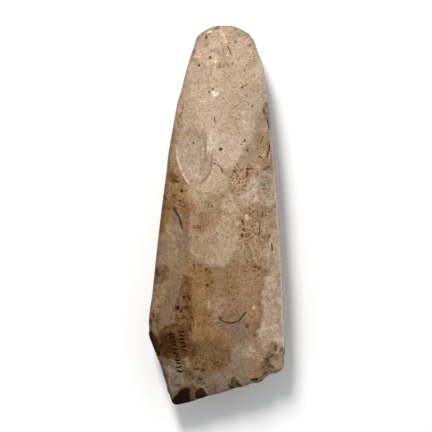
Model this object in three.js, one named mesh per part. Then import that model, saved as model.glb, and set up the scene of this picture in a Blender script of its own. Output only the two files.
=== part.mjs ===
// A ground and polished flint axe head, lying on one face.
// Millimetres, +Z up. +Y runs to the butt, -Y to the cutting edge, X across the blade.
// The origin is on the ground, under the middle of the length and of the width.
//
// The body is one solid. It is lofted from cross-sections, each a pointed oval between two
// narrow ground side facets. The sections lie square to the length over the body and swing
// round towards the cutting edge, which is oblique and a little convex. Flake scars that the
// grinding left, edge chips and the broken lower left corner are functions over that loft.
// The belly rests on a small flat ground across it, so the head lies still.
import * as THREE from "three";

// ---- driving dimensions ----
const BUTT_Y = 95; // top of the butt
const SHOULDER_Y = 88.9; // where the butt's low arch meets the sides
const SHOULDER_LEFT_X = -9.9;
const SHOULDER_RIGHT_X = 16.9;
const ARCH_POWER = 4 / 3;

const LEFT_WIDEN = 45.8; // the left side is a root curve that straightens as it widens
const LEFT_LEAD = 0.102;
const LEFT_POWER = 0.304;
const LEFT_MAX_Y = -56; // widest point of the left side, where the break begins
const RIGHT_MAX_X = 34.2; // widest point of the right side
const RIGHT_MAX_Y = -65;
const RIGHT_POWER = 1.3;
const RIGHT_ROOT = 0.49;

const EDGE_Y0 = -88.45; // cutting edge where it crosses x = 0, without its bulge
const EDGE_SLOPE = 0.324; // rise of the oblique edge, per millimetre to the right
const EDGE_BULGE = 1.8; // convexity of the edge
const EDGE_BULGE_X = 6.2;
const EDGE_BULGE_HALF = 26.5;
const CORNER_RADIUS_LEFT = 2.2;
const CORNER_RADIUS_RIGHT = 2.6;

const BREAK_X = -33.6; // the broken corner's line starts here
const BREAK_Y = -61.3;
const BREAK_SLOPE = 0.36; // in x per millimetre of length
const BREAK_WAVE = 0.35;
const BREAK_WAVE_LENGTH = 46;

const MID_Z = 14.55; // height of the plane between the two faces
const TOP_RISE = 15.4; // the upper face above that plane
const BELLY_DROP = 14.7; // the lower face below it; what passes z = 0 is ground flat
const THICKEST_Y = -6;
const SIDE_FACET_HALF = 3.1; // half the height of the ground side facets
const EDGE_HALF = 0.16; // half the thickness of the worn cutting edge

const HAFT_FLAT_LOW_Y = 30; // the side facets are ground dead straight between these
const HAFT_FLAT_HIGH_Y = 54;

const STATIONS = 84; // cross-sections
const ACROSS = 23; // points over each face of a section

// ---- flake scars: shallow scoops that the grinding did not take out ----
// face: +1 upper, -1 lower. a and b are half-axes across and along, turn is in degrees.
const scars = [
  { face: 1, x: -12.4, y: 29.5, a: 7.6, b: 14.6, turn: -4, depth: 0.55 },
  { face: 1, x: -6.6, y: 33, a: 4.6, b: 13.2, turn: -2, depth: 0.3 },
  { face: 1, x: 8.0, y: 44, a: 9.0, b: 20, turn: -14, depth: 0.5 },
  { face: 1, x: 21.5, y: 36, a: 5.6, b: 20, turn: 6, depth: 0.45 },
  { face: 1, x: -0.9, y: 89.2, a: 5.2, b: 5.8, turn: -12, depth: 0.8 },
  { face: 1, x: -8.8, y: 80, a: 6.4, b: 8.5, turn: -14, depth: 0.6 },
  { face: 1, x: 11.5, y: 83, a: 7.5, b: 10, turn: 20, depth: 0.5 },
  { face: 1, x: -10.5, y: 62, a: 8.4, b: 12, turn: -10, depth: 0.45 },
  { face: 1, x: 14.5, y: 68, a: 8.5, b: 12, turn: 12, depth: 0.35 },
  { face: 1, x: -20.6, y: -3.6, a: 3.4, b: 9.2, turn: -12, depth: 0.45 },
  { face: 1, x: -4.5, y: -6.5, a: 7.4, b: 8.6, turn: -30, depth: 0.3 },
  { face: 1, x: 2.5, y: -17, a: 11.5, b: 10, turn: -30, depth: 0.3 },
  { face: 1, x: 9.5, y: -57.8, a: 10.5, b: 8.4, turn: -8, depth: 0.45 },
  { face: 1, x: -27.4, y: -29, a: 4.6, b: 6.6, turn: -18, depth: 0.35 },
  { face: 1, x: 29.8, y: -74.0, a: 6.2, b: 4.6, turn: 28, depth: 0.9 },
  { face: 1, x: 24.6, y: -79.0, a: 5.4, b: 3.8, turn: 24, depth: 0.9 },
  { face: 1, x: 8.8, y: -86.6, a: 3.7, b: 4.2, turn: 0, depth: 0.75 },
  { face: 1, x: 19.6, y: -83.2, a: 3.6, b: 2.6, turn: 18, depth: 0.55 },
  { face: 1, x: -17.5, y: -92.2, a: 5.0, b: 5.4, turn: 20, depth: 0.4 },
  { face: 1, x: -7.4, y: -90.4, a: 3.7, b: 3.7, turn: 0, depth: 0.35 },
  { face: 1, x: -34.2, y: -64.6, a: 4.6, b: 8.6, turn: 16, depth: 2.4 },
  { face: -1, x: 8.5, y: 62, a: 10.5, b: 18, turn: -12, depth: 0.55 },
  { face: -1, x: -8.5, y: 47, a: 8.5, b: 15, turn: 10, depth: 0.5 },
  { face: -1, x: 3.0, y: 86, a: 7.5, b: 8, turn: 0, depth: 0.9 },
  { face: -1, x: 21.5, y: 4, a: 7.0, b: 17, turn: -5, depth: 0.55 },
  { face: -1, x: -21.0, y: -14, a: 7.5, b: 13, turn: 12, depth: 0.55 },
  { face: -1, x: 16.0, y: -52, a: 11, b: 9, turn: 20, depth: 0.45 },
  { face: -1, x: -15.0, y: -66, a: 9, b: 8, turn: -12, depth: 0.4 },
  { face: -1, x: 14.0, y: -84.5, a: 5.6, b: 3.6, turn: 18, depth: 0.6 },
  { face: -1, x: -10.5, y: -91.2, a: 4.4, b: 3.4, turn: 18, depth: 0.5 },
];

// ---- nicks in the outline: how far they bite in, how wide they are, where they lie ----
// A negative bite is a stretch that stands proud between two nicks.
const edgeNicks = [
  { x: 1, half: 18, bite: 0.6 },
  { x: 26.8, half: 4.2, bite: 0.7 },
  { x: 21.4, half: 3.6, bite: -1.05 },
  { x: 9.4, half: 2.8, bite: 0.35 },
  { x: 14.9, half: 2.0, bite: -0.25 },
  { x: -4.4, half: 3.6, bite: 0.45 },
  { x: -8.6, half: 2.6, bite: 0.35 },
];
const sideNicks = [
  { side: 1, y: 90.2, half: 1.9, bite: -0.6 },
  { side: 1, y: 82.8, half: 7.2, bite: 0.65 },
  { side: 1, y: 72.6, half: 4.4, bite: -0.3 },
  { side: -1, y: 93, half: 4, bite: 0.6 },
  { side: -1, y: -57.6, half: 4.6, bite: 0.6 },
  { side: 1, y: -71.2, half: 2.6, bite: 0.35 },
  { side: 1, y: -50.5, half: 3.6, bite: 0.25 },
  { side: -1, y: -74, half: 3.0, bite: 0.25 },
  { side: -1, y: -87.6, half: 2.6, bite: -0.4 },
];
// Long, faint hollows in the left side: their ends, the length over which they set in, their depth.
const leftHollows = [
  { low: 59.3, high: 86, run: 7, depth: 0.62 },
  { low: -44, high: 26.5, run: 12, depth: 0.52 },
];

const clamp = THREE.MathUtils.clamp;
const smooth = THREE.MathUtils.smoothstep;
const hump = (u) => (Math.abs(u) < 1 ? (1 - u * u) ** 2 : 0);
const degrees = Math.PI / 180;

// ---- outline, seen from above ----
const BUTT_CENTRE_X = (SHOULDER_LEFT_X + SHOULDER_RIGHT_X) / 2;
const BUTT_HALF = (SHOULDER_RIGHT_X - SHOULDER_LEFT_X) / 2;
const archHalf = (y) => {
  const rise = (Math.min(y, BUTT_Y) - SHOULDER_Y) / (BUTT_Y - SHOULDER_Y);
  return BUTT_HALF * Math.sqrt(1 - rise ** ARCH_POWER);
};

const leftHollow = (y) =>
  leftHollows.reduce(
    (sum, h) =>
      sum +
      h.depth *
        smooth(y, h.low - h.run / 2, h.low + h.run / 2) *
        (1 - smooth(y, h.high - h.run / 2, h.high + h.run / 2)),
    0,
  );

function leftSide(y) {
  if (y > SHOULDER_Y) return BUTT_CENTRE_X - archHalf(y) + leftHollow(y);
  const v = (SHOULDER_Y - y) / (SHOULDER_Y - LEFT_MAX_Y);
  return (
    SHOULDER_LEFT_X +
    leftHollow(y) -
    LEFT_WIDEN *
      ((Math.min(v, 1.05) + LEFT_LEAD) ** LEFT_POWER - LEFT_LEAD ** LEFT_POWER)
  );
}

function rightSide(y) {
  if (y > SHOULDER_Y) return BUTT_CENTRE_X + archHalf(y);
  const v = (SHOULDER_Y - y) / (SHOULDER_Y - RIGHT_MAX_Y);
  if (v > 1) return RIGHT_MAX_X - 0.25 * ((RIGHT_MAX_Y - y) / 8.5) ** 2;
  return (
    SHOULDER_RIGHT_X +
    (RIGHT_MAX_X - SHOULDER_RIGHT_X) * (1 - (1 - v) ** RIGHT_POWER) ** RIGHT_ROOT
  );
}

// The straight ground facets that a haft's socket bears on, one along each side.
function straightened(outline) {
  const low = outline(HAFT_FLAT_LOW_Y),
    high = outline(HAFT_FLAT_HIGH_Y);
  const run = HAFT_FLAT_HIGH_Y - HAFT_FLAT_LOW_Y;
  return (y) => low + ((high - low) * (y - HAFT_FLAT_LOW_Y)) / run;
}
const haftLeft = straightened(leftSide);
const haftRight = straightened(rightSide);
const inHaft = (y) => y >= HAFT_FLAT_LOW_Y && y <= HAFT_FLAT_HIGH_Y;

function breakLine(y) {
  const down = BREAK_Y - y;
  return (
    BREAK_X +
    BREAK_SLOPE * down +
    BREAK_WAVE * Math.sin((2 * Math.PI * down) / BREAK_WAVE_LENGTH)
  );
}

const nickAt = (side, y) =>
  sideNicks
    .filter((n) => n.side === side)
    .reduce((sum, n) => sum + n.bite * hump((y - n.y) / n.half), 0);

function leftEdge(y) {
  if (inHaft(y)) return haftLeft(y);
  const x = y < BREAK_Y + 4 ? Math.max(leftSide(y), breakLine(y)) : leftSide(y);
  return x + nickAt(-1, y);
}

const rightEdge = (y) => (inHaft(y) ? haftRight(y) : rightSide(y) - nickAt(1, y));

// ---- stations: lines across the axe that swing round to meet the cutting edge ----
const edgeShape = (x) =>
  EDGE_SLOPE * x -
  EDGE_BULGE * (1 - ((x - EDGE_BULGE_X) / EDGE_BULGE_HALF) ** 2);
const swing = (yc) => 1 - smooth(yc, EDGE_Y0, -8);
const edgeBite = (x) =>
  edgeNicks.reduce((sum, n) => sum + n.bite * hump((x - n.x) / n.half), 0);
const stationY = (yc, x) =>
  yc +
  swing(yc) * edgeShape(x) +
  edgeBite(x) * Math.exp(-(((yc - EDGE_Y0) / 3.2) ** 2));

// Where a station line meets an outline, found by repeated steps from a first guess.
function meet(yc, outline, start) {
  let x = start;
  for (let i = 0; i < 24; i++) x = 0.4 * x + 0.6 * outline(stationY(yc, x));
  return x;
}

const roundCorner = (fromEdge, radius) =>
  fromEdge >= radius
    ? 0
    : radius * (1 - Math.sqrt(1 - ((radius - fromEdge) / radius) ** 2));

// ---- thickness ----
// How much of the full thickness a station has, from 0 at both ends to 1 at the thickest.
function fullness(yc) {
  if (yc > THICKEST_Y) {
    const u = (yc - THICKEST_Y) / (BUTT_Y - THICKEST_Y);
    return (1 - u ** 2.3) ** 0.6;
  }
  const u = (yc - EDGE_Y0) / (THICKEST_Y - EDGE_Y0);
  return (1 - (1 - u) ** 2.05) ** 0.84;
}
const oval = (t) => (1 - Math.min(1, Math.abs(t)) ** 2.4) ** 0.88;
// The plane between the faces wanders a little, as a hand-made edge does.
const wander = (x, y) =>
  0.42 * Math.sin(y / 19 - 1.45) +
  0.16 * Math.sin(y / 7.3 - 1.0) +
  0.3 * Math.sin(x / 9) * smooth(-y, 40, 90);
// Broad, faint facets that the grinding left.
const ground = (face, x, y) =>
  0.16 * Math.sin(x / 6.1 + y / 23 + (face > 0 ? 0.4 : -1.4)) +
  0.14 * Math.sin(y / 12.7 - x / 15 + (face > 0 ? 1.1 : -1.3));

function scoop(face, x, y) {
  let cut = 0;
  for (const s of scars) {
    if (s.face !== face) continue;
    const c = Math.cos(s.turn * degrees),
      w = Math.sin(s.turn * degrees);
    const u = ((x - s.x) * c + (y - s.y) * w) / s.a,
      v = ((y - s.y) * c - (x - s.x) * w) / s.b;
    cut = Math.max(cut, s.depth * (1 - u * u - v * v));
  }
  return cut;
}

function section(yc) {
  const wholeLeft = meet(yc, leftSide, -20),
    wholeRight = meet(yc, rightSide, 20);
  const fromEdge = Math.max(0, yc - EDGE_Y0);
  const left = meet(yc, leftEdge, -20) + roundCorner(fromEdge, CORNER_RADIUS_LEFT);
  const right =
    meet(yc, rightEdge, 20) - roundCorner(fromEdge, CORNER_RADIUS_RIGHT);
  const full = fullness(yc);
  const side = Math.min(SIDE_FACET_HALF, EDGE_HALF + 7 * full);
  const heights = (x) => {
    const y = stationY(yc, x);
    const t = (2 * (x - wholeLeft)) / (wholeRight - wholeLeft) - 1;
    const swell = oval(t);
    const calm = smooth(full * swell, 0, 0.25);
    const mid = MID_Z + wander(x, y);
    const half = (rise) =>
      Math.max(
        side,
        side + (EDGE_HALF + (rise - EDGE_HALF) * full - side) * swell,
      );
    let top = mid + half(TOP_RISE) + ground(1, x, y) * calm - scoop(1, x, y);
    let low = mid - half(BELLY_DROP) + ground(-1, x, y) * calm + scoop(-1, x, y);
    if (top < low + 2 * EDGE_HALF) {
      const thin = (top + low) / 2;
      top = thin + EDGE_HALF;
      low = thin - EDGE_HALF;
    }
    return { y, top, low: Math.max(0, low) };
  };
  return { left, right, heights };
}

// ---- the loft ----
function flintBody() {
  const position = [];
  const put = (x, y, z) => position.push(x, y, z) / 3 - 1;
  const loops = [];
  for (let i = 0; i < STATIONS; i++) {
    // Stations are closer together at the butt and at the cutting edge.
    const s = (i + 0.35) / (STATIONS - 0.65);
    const eased = 0.42 * s + 0.58 * (0.5 - 0.5 * Math.cos(Math.PI * s));
    const yc =
      i === STATIONS - 1 ? EDGE_Y0 : BUTT_Y + (EDGE_Y0 - BUTT_Y) * eased;
    const { left, right, heights } = section(yc);
    const top = [],
      low = [];
    for (let j = 0; j < ACROSS; j++) {
      const even = (2 * j) / (ACROSS - 1) - 1;
      const t = 0.45 * Math.sin((Math.PI / 2) * even) + 0.55 * even;
      const x = (left + right) / 2 + ((right - left) / 2) * t;
      const h = heights(x);
      top.push(put(x, h.y, h.top));
      low.push(put(x, h.y, h.low));
    }
    loops.push({ top, low });
  }
  const faces = [];
  const quad = (a, b, c, d) => faces.push(a, b, c, a, c, d);
  const last = ACROSS - 1;
  for (let i = 0; i + 1 < loops.length; i++) {
    const A = loops[i],
      B = loops[i + 1];
    for (let j = 0; j < last; j++) {
      quad(A.top[j], B.top[j], B.top[j + 1], A.top[j + 1]);
      quad(A.low[j], A.low[j + 1], B.low[j + 1], B.low[j]);
    }
    quad(A.top[last], B.top[last], B.low[last], A.low[last]); // right side facet
    quad(A.top[0], A.low[0], B.low[0], B.top[0]); // left side facet, and the break
  }
  const butt = loops[0],
    blade = loops[loops.length - 1];
  for (let j = 0; j < last; j++) {
    quad(blade.top[j], blade.low[j], blade.low[j + 1], blade.top[j + 1]);
    quad(butt.top[j], butt.top[j + 1], butt.low[j + 1], butt.low[j]);
  }
  const geometry = new THREE.BufferGeometry();
  geometry.setAttribute(
    "position",
    new THREE.Float32BufferAttribute(position, 3),
  );
  geometry.setIndex(faces);
  geometry.computeBoundingBox();
  const middle = geometry.boundingBox.getCenter(new THREE.Vector3());
  geometry.translate(-middle.x, -middle.y, 0); // the last tenth of a millimetre
  geometry.computeVertexNormals();
  return geometry;
}

const flint = new THREE.MeshStandardMaterial({
  name: "patinated flint",
  color: 0xb4946f,
  roughness: 0.42,
  metalness: 0,
});

const axe = new THREE.Group();
axe.name = "polished_flint_axe";
const head = new THREE.Mesh(flintBody(), flint);
head.name = "axe_head";
axe.add(head);

export default axe;
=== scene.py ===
"""A polished stone axe head in flint: its ground and chipped surface, its patina, and a plain studio to show it in.

Lengths are millimetres while the shape is worked out, and metres in Blender. The body repeats the named sizes of the solid,
so the two agree; the finer relief (scar walls, step lines, pits, nicks, ground facets) is added here as real mesh.
"""

import math

import bpy
import numpy as np
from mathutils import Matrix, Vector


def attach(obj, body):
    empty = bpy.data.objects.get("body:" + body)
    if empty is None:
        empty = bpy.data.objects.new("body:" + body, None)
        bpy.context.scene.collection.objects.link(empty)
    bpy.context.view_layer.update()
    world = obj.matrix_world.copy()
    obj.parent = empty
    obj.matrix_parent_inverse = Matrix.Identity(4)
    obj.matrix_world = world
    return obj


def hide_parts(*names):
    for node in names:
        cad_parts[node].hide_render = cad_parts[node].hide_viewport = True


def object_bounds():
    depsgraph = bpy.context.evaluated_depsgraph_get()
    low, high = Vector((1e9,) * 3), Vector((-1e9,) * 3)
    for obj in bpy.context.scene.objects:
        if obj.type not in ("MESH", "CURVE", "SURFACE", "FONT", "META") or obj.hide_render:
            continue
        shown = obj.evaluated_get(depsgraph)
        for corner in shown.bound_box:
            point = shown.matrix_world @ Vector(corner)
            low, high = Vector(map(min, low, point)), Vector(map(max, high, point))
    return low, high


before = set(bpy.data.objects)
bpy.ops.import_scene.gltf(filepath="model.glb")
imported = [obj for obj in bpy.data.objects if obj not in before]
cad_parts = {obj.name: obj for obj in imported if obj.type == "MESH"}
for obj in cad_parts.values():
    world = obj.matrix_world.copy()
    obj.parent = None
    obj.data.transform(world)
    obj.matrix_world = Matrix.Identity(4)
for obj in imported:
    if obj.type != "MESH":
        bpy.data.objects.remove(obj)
cad_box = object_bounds()

# [form] ---------------------------------------------------------------------------------
# The body, in millimetres, worked out from the same named sizes as the solid.
BUTT_Y, SHOULDER_Y = 95.0, 88.9
SHOULDER_LEFT_X, SHOULDER_RIGHT_X = -9.9, 16.9
ARCH_POWER = 4 / 3
LEFT_WIDEN, LEFT_LEAD, LEFT_POWER, LEFT_MAX_Y = 45.8, 0.102, 0.304, -56.0
RIGHT_MAX_X, RIGHT_MAX_Y, RIGHT_POWER, RIGHT_ROOT = 34.2, -65.0, 1.3, 0.49
EDGE_Y0, EDGE_SLOPE, EDGE_BULGE, EDGE_BULGE_X, EDGE_BULGE_HALF = -88.45, 0.324, 1.8, 6.2, 26.5
CORNER_RADIUS_LEFT, CORNER_RADIUS_RIGHT = 2.2, 2.6
BREAK_X, BREAK_Y, BREAK_SLOPE, BREAK_WAVE, BREAK_WAVE_LENGTH = -33.6, -61.3, 0.36, 0.35, 46.0
MID_Z, TOP_RISE, BELLY_DROP, THICKEST_Y = 14.55, 15.4, 14.7, -6.0
SIDE_FACET_HALF, EDGE_HALF = 3.1, 0.16
HAFT_FLAT_LOW_Y, HAFT_FLAT_HIGH_Y = 30.0, 54.0
CENTRING = (-0.149879, 0.102898)  # the solid's box is centred on the origin by this much

# Nicks in the outline: place, half width, bite.
EDGE_NICKS = [(1, 18, 0.6), (26.8, 4.2, 0.7), (21.4, 3.6, -1.05), (9.4, 2.8, 0.35), (14.9, 2.0, -0.25), (-4.4, 3.6, 0.45), (-8.6, 2.6, 0.35)]
SIDE_NICKS = [(1, 90.2, 1.9, -0.6), (1, 82.8, 7.2, 0.65), (1, 72.6, 4.4, -0.3), (-1, 93.0, 4.0, 0.6), (-1, -57.6, 4.6, 0.6),
              (1, -71.2, 2.6, 0.35), (1, -50.5, 3.6, 0.25), (-1, -74.0, 3.0, 0.25), (-1, -87.6, 2.6, -0.4)]
# Long, faint hollows in the left side: their ends, the length over which they set in, their depth.
LEFT_HOLLOWS = [(59.3, 86.0, 7.0, 0.62), (-44.0, 26.5, 12.0, 0.52)]


def smoothstep(a, b, x):
    t = np.clip((x - a) / (b - a), 0.0, 1.0)
    return t * t * (3.0 - 2.0 * t)


def hump(u):
    return np.where(np.abs(u) < 1, (1 - np.minimum(u * u, 1.0)) ** 2, 0.0)


def _hash(ix, iy, seed):
    n = (ix * 374761393 + iy * 668265263 + seed * 1442695041) & 0xFFFFFFFF
    n = ((n ^ (n >> 13)) * 1274126177) & 0xFFFFFFFF
    return (n ^ (n >> 16)) & 0xFFFFFFFF


def noise(x, y, seed):
    """Gradient noise, about -1 to 1, the same on every run."""
    x0, y0 = np.floor(x).astype(np.int64), np.floor(y).astype(np.int64)
    fx, fy = x - x0, y - y0
    sx, sy = fx * fx * fx * (fx * (fx * 6 - 15) + 10), fy * fy * fy * (fy * (fy * 6 - 15) + 10)

    def corner(i, j):
        a = _hash(x0 + i, y0 + j, seed) * (2 * math.pi / 4294967296.0)
        return np.cos(a) * (fx - i) + np.sin(a) * (fy - j)

    low = corner(0, 0) * (1 - sx) + corner(1, 0) * sx
    high = corner(0, 1) * (1 - sx) + corner(1, 1) * sx
    return (low * (1 - sy) + high * sy) * 1.5


def fbm(x, y, wavelength, octaves=3, seed=0, gain=0.5):
    total, amp, norm = 0.0, 1.0, 0.0
    for k in range(octaves):
        f = 2.0 ** k / wavelength
        total = total + amp * noise(x * f + 17.3 * k, y * f - 9.1 * k, seed + 31 * k)
        norm += amp
        amp *= gain
    return total / norm


BUTT_CENTRE_X = (SHOULDER_LEFT_X + SHOULDER_RIGHT_X) / 2
BUTT_HALF = (SHOULDER_RIGHT_X - SHOULDER_LEFT_X) / 2


def arch_half(y):
    rise = np.clip((y - SHOULDER_Y) / (BUTT_Y - SHOULDER_Y), 0, 1)
    return BUTT_HALF * np.sqrt(1 - rise ** ARCH_POWER)


def left_hollow(y):
    return sum(d * smoothstep(low - r / 2, low + r / 2, y) * (1 - smoothstep(high - r / 2, high + r / 2, y)) for low, high, r, d in LEFT_HOLLOWS)


def left_side(y):
    v = np.clip((SHOULDER_Y - y) / (SHOULDER_Y - LEFT_MAX_Y), 0, 1.05)
    side = SHOULDER_LEFT_X - LEFT_WIDEN * ((v + LEFT_LEAD) ** LEFT_POWER - LEFT_LEAD ** LEFT_POWER)
    return np.where(y > SHOULDER_Y, BUTT_CENTRE_X - arch_half(y), side) + left_hollow(y)


def right_side(y):
    v = np.clip((SHOULDER_Y - y) / (SHOULDER_Y - RIGHT_MAX_Y), 0, 1)
    side = SHOULDER_RIGHT_X + (RIGHT_MAX_X - SHOULDER_RIGHT_X) * (1 - (1 - v) ** RIGHT_POWER) ** RIGHT_ROOT
    side = np.where(y < RIGHT_MAX_Y, RIGHT_MAX_X - 0.25 * ((RIGHT_MAX_Y - y) / 8.5) ** 2, side)
    return np.where(y > SHOULDER_Y, BUTT_CENTRE_X + arch_half(y), side)


def straightened(outline, y):
    low, high = float(outline(np.array(HAFT_FLAT_LOW_Y))), float(outline(np.array(HAFT_FLAT_HIGH_Y)))
    return low + (high - low) * (y - HAFT_FLAT_LOW_Y) / (HAFT_FLAT_HIGH_Y - HAFT_FLAT_LOW_Y)


def in_haft(y):
    return (y >= HAFT_FLAT_LOW_Y) & (y <= HAFT_FLAT_HIGH_Y)


def break_line(y):
    down = BREAK_Y - y
    return BREAK_X + BREAK_SLOPE * down + BREAK_WAVE * np.sin(2 * math.pi * down / BREAK_WAVE_LENGTH)


def nick_at(side, y):
    return sum(bite * hump((y - at) / half) for s, at, half, bite in SIDE_NICKS if s == side)


def left_edge(y):
    whole = left_side(y)
    x = np.where(y < BREAK_Y + 4, np.maximum(whole, break_line(y)), whole) + nick_at(-1, y)
    return np.where(in_haft(y), straightened(left_side, y), x)


def right_edge(y):
    return np.where(in_haft(y), straightened(right_side, y), right_side(y) - nick_at(1, y))


def edge_shape(x):
    return EDGE_SLOPE * x - EDGE_BULGE * (1 - ((x - EDGE_BULGE_X) / EDGE_BULGE_HALF) ** 2)


def station_y(yc, x):
    swing = 1 - smoothstep(EDGE_Y0, -8.0, yc)
    bite = sum(b * hump((x - at) / half) for at, half, b in EDGE_NICKS)
    return yc + swing * edge_shape(x) + bite * np.exp(-(((yc - EDGE_Y0) / 3.2) ** 2))


def meet(yc, outline, start):
    x = np.full_like(yc, start)
    for _ in range(24):
        x = 0.4 * x + 0.6 * outline(station_y(yc, x))
    return x


def round_corner(from_edge, radius):
    inside = np.clip((radius - from_edge) / radius, 0, 1)
    return radius * (1 - np.sqrt(1 - inside ** 2))


def fullness(yc):
    u = np.clip((yc - THICKEST_Y) / (BUTT_Y - THICKEST_Y), 0, 1)
    w = np.clip((yc - EDGE_Y0) / (THICKEST_Y - EDGE_Y0), 0, 1)
    return np.where(yc > THICKEST_Y, (1 - u ** 2.3) ** 0.6, (1 - (1 - w) ** 2.05) ** 0.84)


def oval(t):
    return (1 - np.minimum(1, np.abs(t)) ** 2.4) ** 0.88


def wander(x, y):
    return (0.42 * np.sin(y / 19 - 1.45) + 0.16 * np.sin(y / 7.3 - 1.0)
            + 0.3 * np.sin(x / 9) * smoothstep(40, 90, -y))


def ground_facets(face, x, y):
    a, b = (0.4, 1.1) if face > 0 else (-1.4, -1.3)
    return 0.16 * np.sin(x / 6.1 + y / 23 + a) + 0.14 * np.sin(y / 12.7 - x / 15 + b)


class Section:
    """The cross-sections at station positions yc (an array)."""

    def __init__(self, yc):
        self.yc = yc
        self.whole_left, self.whole_right = meet(yc, left_side, -20.0), meet(yc, right_side, 20.0)
        from_edge = np.maximum(0, yc - EDGE_Y0)
        self.left = meet(yc, left_edge, -20.0) + round_corner(from_edge, CORNER_RADIUS_LEFT)
        self.right = meet(yc, right_edge, 20.0) - round_corner(from_edge, CORNER_RADIUS_RIGHT)
        self.full = fullness(yc)
        self.side = np.minimum(SIDE_FACET_HALF, EDGE_HALF + 7 * self.full)

    def heights(self, x, relief):
        """Upper and lower heights at x (stations by points across). relief(face, x, y) is cut off each face."""
        yc, full, side = self.yc[:, None], self.full[:, None], self.side[:, None]
        y = station_y(yc, x)
        t = 2 * (x - self.whole_left[:, None]) / (self.whole_right - self.whole_left)[:, None] - 1
        swell = oval(t)
        calm = smoothstep(0, 0.25, full * swell)
        mid = MID_Z + wander(x, y)

        def half(rise):
            return np.maximum(side, side + (EDGE_HALF + (rise - EDGE_HALF) * full - side) * swell)

        top = mid + half(TOP_RISE) + ground_facets(1, x, y) * calm - relief(1, x, y)
        low = mid - half(BELLY_DROP) + ground_facets(-1, x, y) * calm + relief(-1, x, y)
        thin = top < low + 2 * EDGE_HALF
        centre = (top + low) / 2
        top, low = np.where(thin, centre + EDGE_HALF, top), np.where(thin, centre - EDGE_HALF, low)
        return y, top, low
# [/form] --------------------------------------------------------------------------------


# [paint] --------------------------------------------------------------------------------
# Where each tone of the patina lies. Places are on a half-millimetre drawing grid over the
# upper face: u runs to the right and v from the butt to the edge.
PIGMENTS = {  # surface colours, as display values
    "cream": (184, 163, 140), "pink": (164, 141, 119), "tan": (152, 122, 90), "grey": (138, 119, 100),
    "slate": (108, 93, 79), "ochre": (126, 93, 54), "brown": (90, 61, 33), "umber": (60, 36, 14),
    "black": (26, 9, 4), "pale": (212, 194, 171), "rust": (138, 94, 57),
}
NAMES = list(PIGMENTS)


def to_grid(x, y):
    return 2 * x + 216.5, 215 - 2 * y


def to_mm(u, v):
    return (np.asarray(u, float) - 216.5) / 2, (215 - np.asarray(v, float)) / 2


def poly(*points):
    """A closed outline: signed distance, positive inside."""
    pts = np.array(points, float)

    def distance(u, v):
        best = np.full(u.shape, 1e9)
        inside = np.zeros(u.shape, bool)
        for (x0, y0), (x1, y1) in zip(pts, np.roll(pts, -1, axis=0)):
            ex, ey = x1 - x0, y1 - y0
            t = np.clip(((u - x0) * ex + (v - y0) * ey) / (ex * ex + ey * ey), 0, 1)
            best = np.minimum(best, np.hypot(u - x0 - t * ex, v - y0 - t * ey))
            if y0 != y1:
                cross = x0 + (v - y0) * ex / ey
                inside ^= ((y0 <= v) != (y1 <= v)) & (u < cross)
        return np.where(inside, best, -best)

    distance.box = (pts[:, 0].min(), pts[:, 1].min(), pts[:, 0].max(), pts[:, 1].max())
    return distance


def spot(cu, cv, a, b, turn=0.0):
    """An ellipse: approximate signed distance, positive inside."""
    c, s = math.cos(math.radians(turn)), math.sin(math.radians(turn))

    def distance(u, v):
        p, q = (u - cu) * c + (v - cv) * s, (v - cv) * c - (u - cu) * s
        r = np.sqrt((p / a) ** 2 + (q / b) ** 2) + 1e-6
        return (1 - r) * np.where(r > 0.3, np.hypot(p, q) / r, min(a, b))

    m = max(a, b)
    distance.box = (cu - m, cv - m, cu + m, cv + m)
    return distance


def trail(width, *points):
    """A band of this width along a path."""
    pts = np.array(points, float)

    def distance(u, v):
        best = np.full(u.shape, 1e9)
        for (x0, y0), (x1, y1) in zip(pts[:-1], pts[1:]):
            ex, ey = x1 - x0, y1 - y0
            t = np.clip(((u - x0) * ex + (v - y0) * ey) / (ex * ex + ey * ey), 0, 1)
            best = np.minimum(best, np.hypot(u - x0 - t * ex, v - y0 - t * ey))
        return width / 2 - best

    distance.box = (pts[:, 0].min() - width, pts[:, 1].min() - width, pts[:, 0].max() + width, pts[:, 1].max() + width)
    return distance


class Coat:
    """How much of each pigment lies at each point; the amounts always add up to one."""

    def __init__(self, u, v, seed, **base):
        self.u, self.v = u, v
        self.parts = np.zeros((len(NAMES), u.size))
        for name, w in base.items():
            self.parts[NAMES.index(name)] = w
        self.speck = np.zeros(u.size)
        a = fbm(u, v, 26, 3, seed), fbm(u, v, 26, 3, seed + 5)
        b = fbm(u, v, 7, 3, seed + 9), fbm(u, v, 7, 3, seed + 13)
        self.slow, self.quick = a, b

    def lay(self, shape, soft=1.2, amount=1.0, mix="", speck=None, ragged=1.0):
        u0, v0, u1, v1 = shape.box
        m = soft + 4 * ragged + 3
        i = np.where((self.u > u0 - m) & (self.u < u1 + m) & (self.v > v0 - m) & (self.v < v1 + m))[0]
        if not i.size:
            return
        u = self.u[i] + ragged * (2.0 * self.slow[0][i] + 1.5 * self.quick[0][i])
        v = self.v[i] + ragged * (2.0 * self.slow[1][i] + 1.5 * self.quick[1][i])
        k = amount * smoothstep(-soft, soft, shape(u, v))
        if mix:
            target = np.zeros(len(NAMES))
            for word in mix.split():
                name, w = word.split(":")
                target[NAMES.index(name)] = float(w)
            target /= target.sum()
            self.parts[:, i] = self.parts[:, i] * (1 - k) + target[:, None] * k
        if speck is not None:
            self.speck[i] = self.speck[i] * (1 - k) + speck * k


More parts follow.
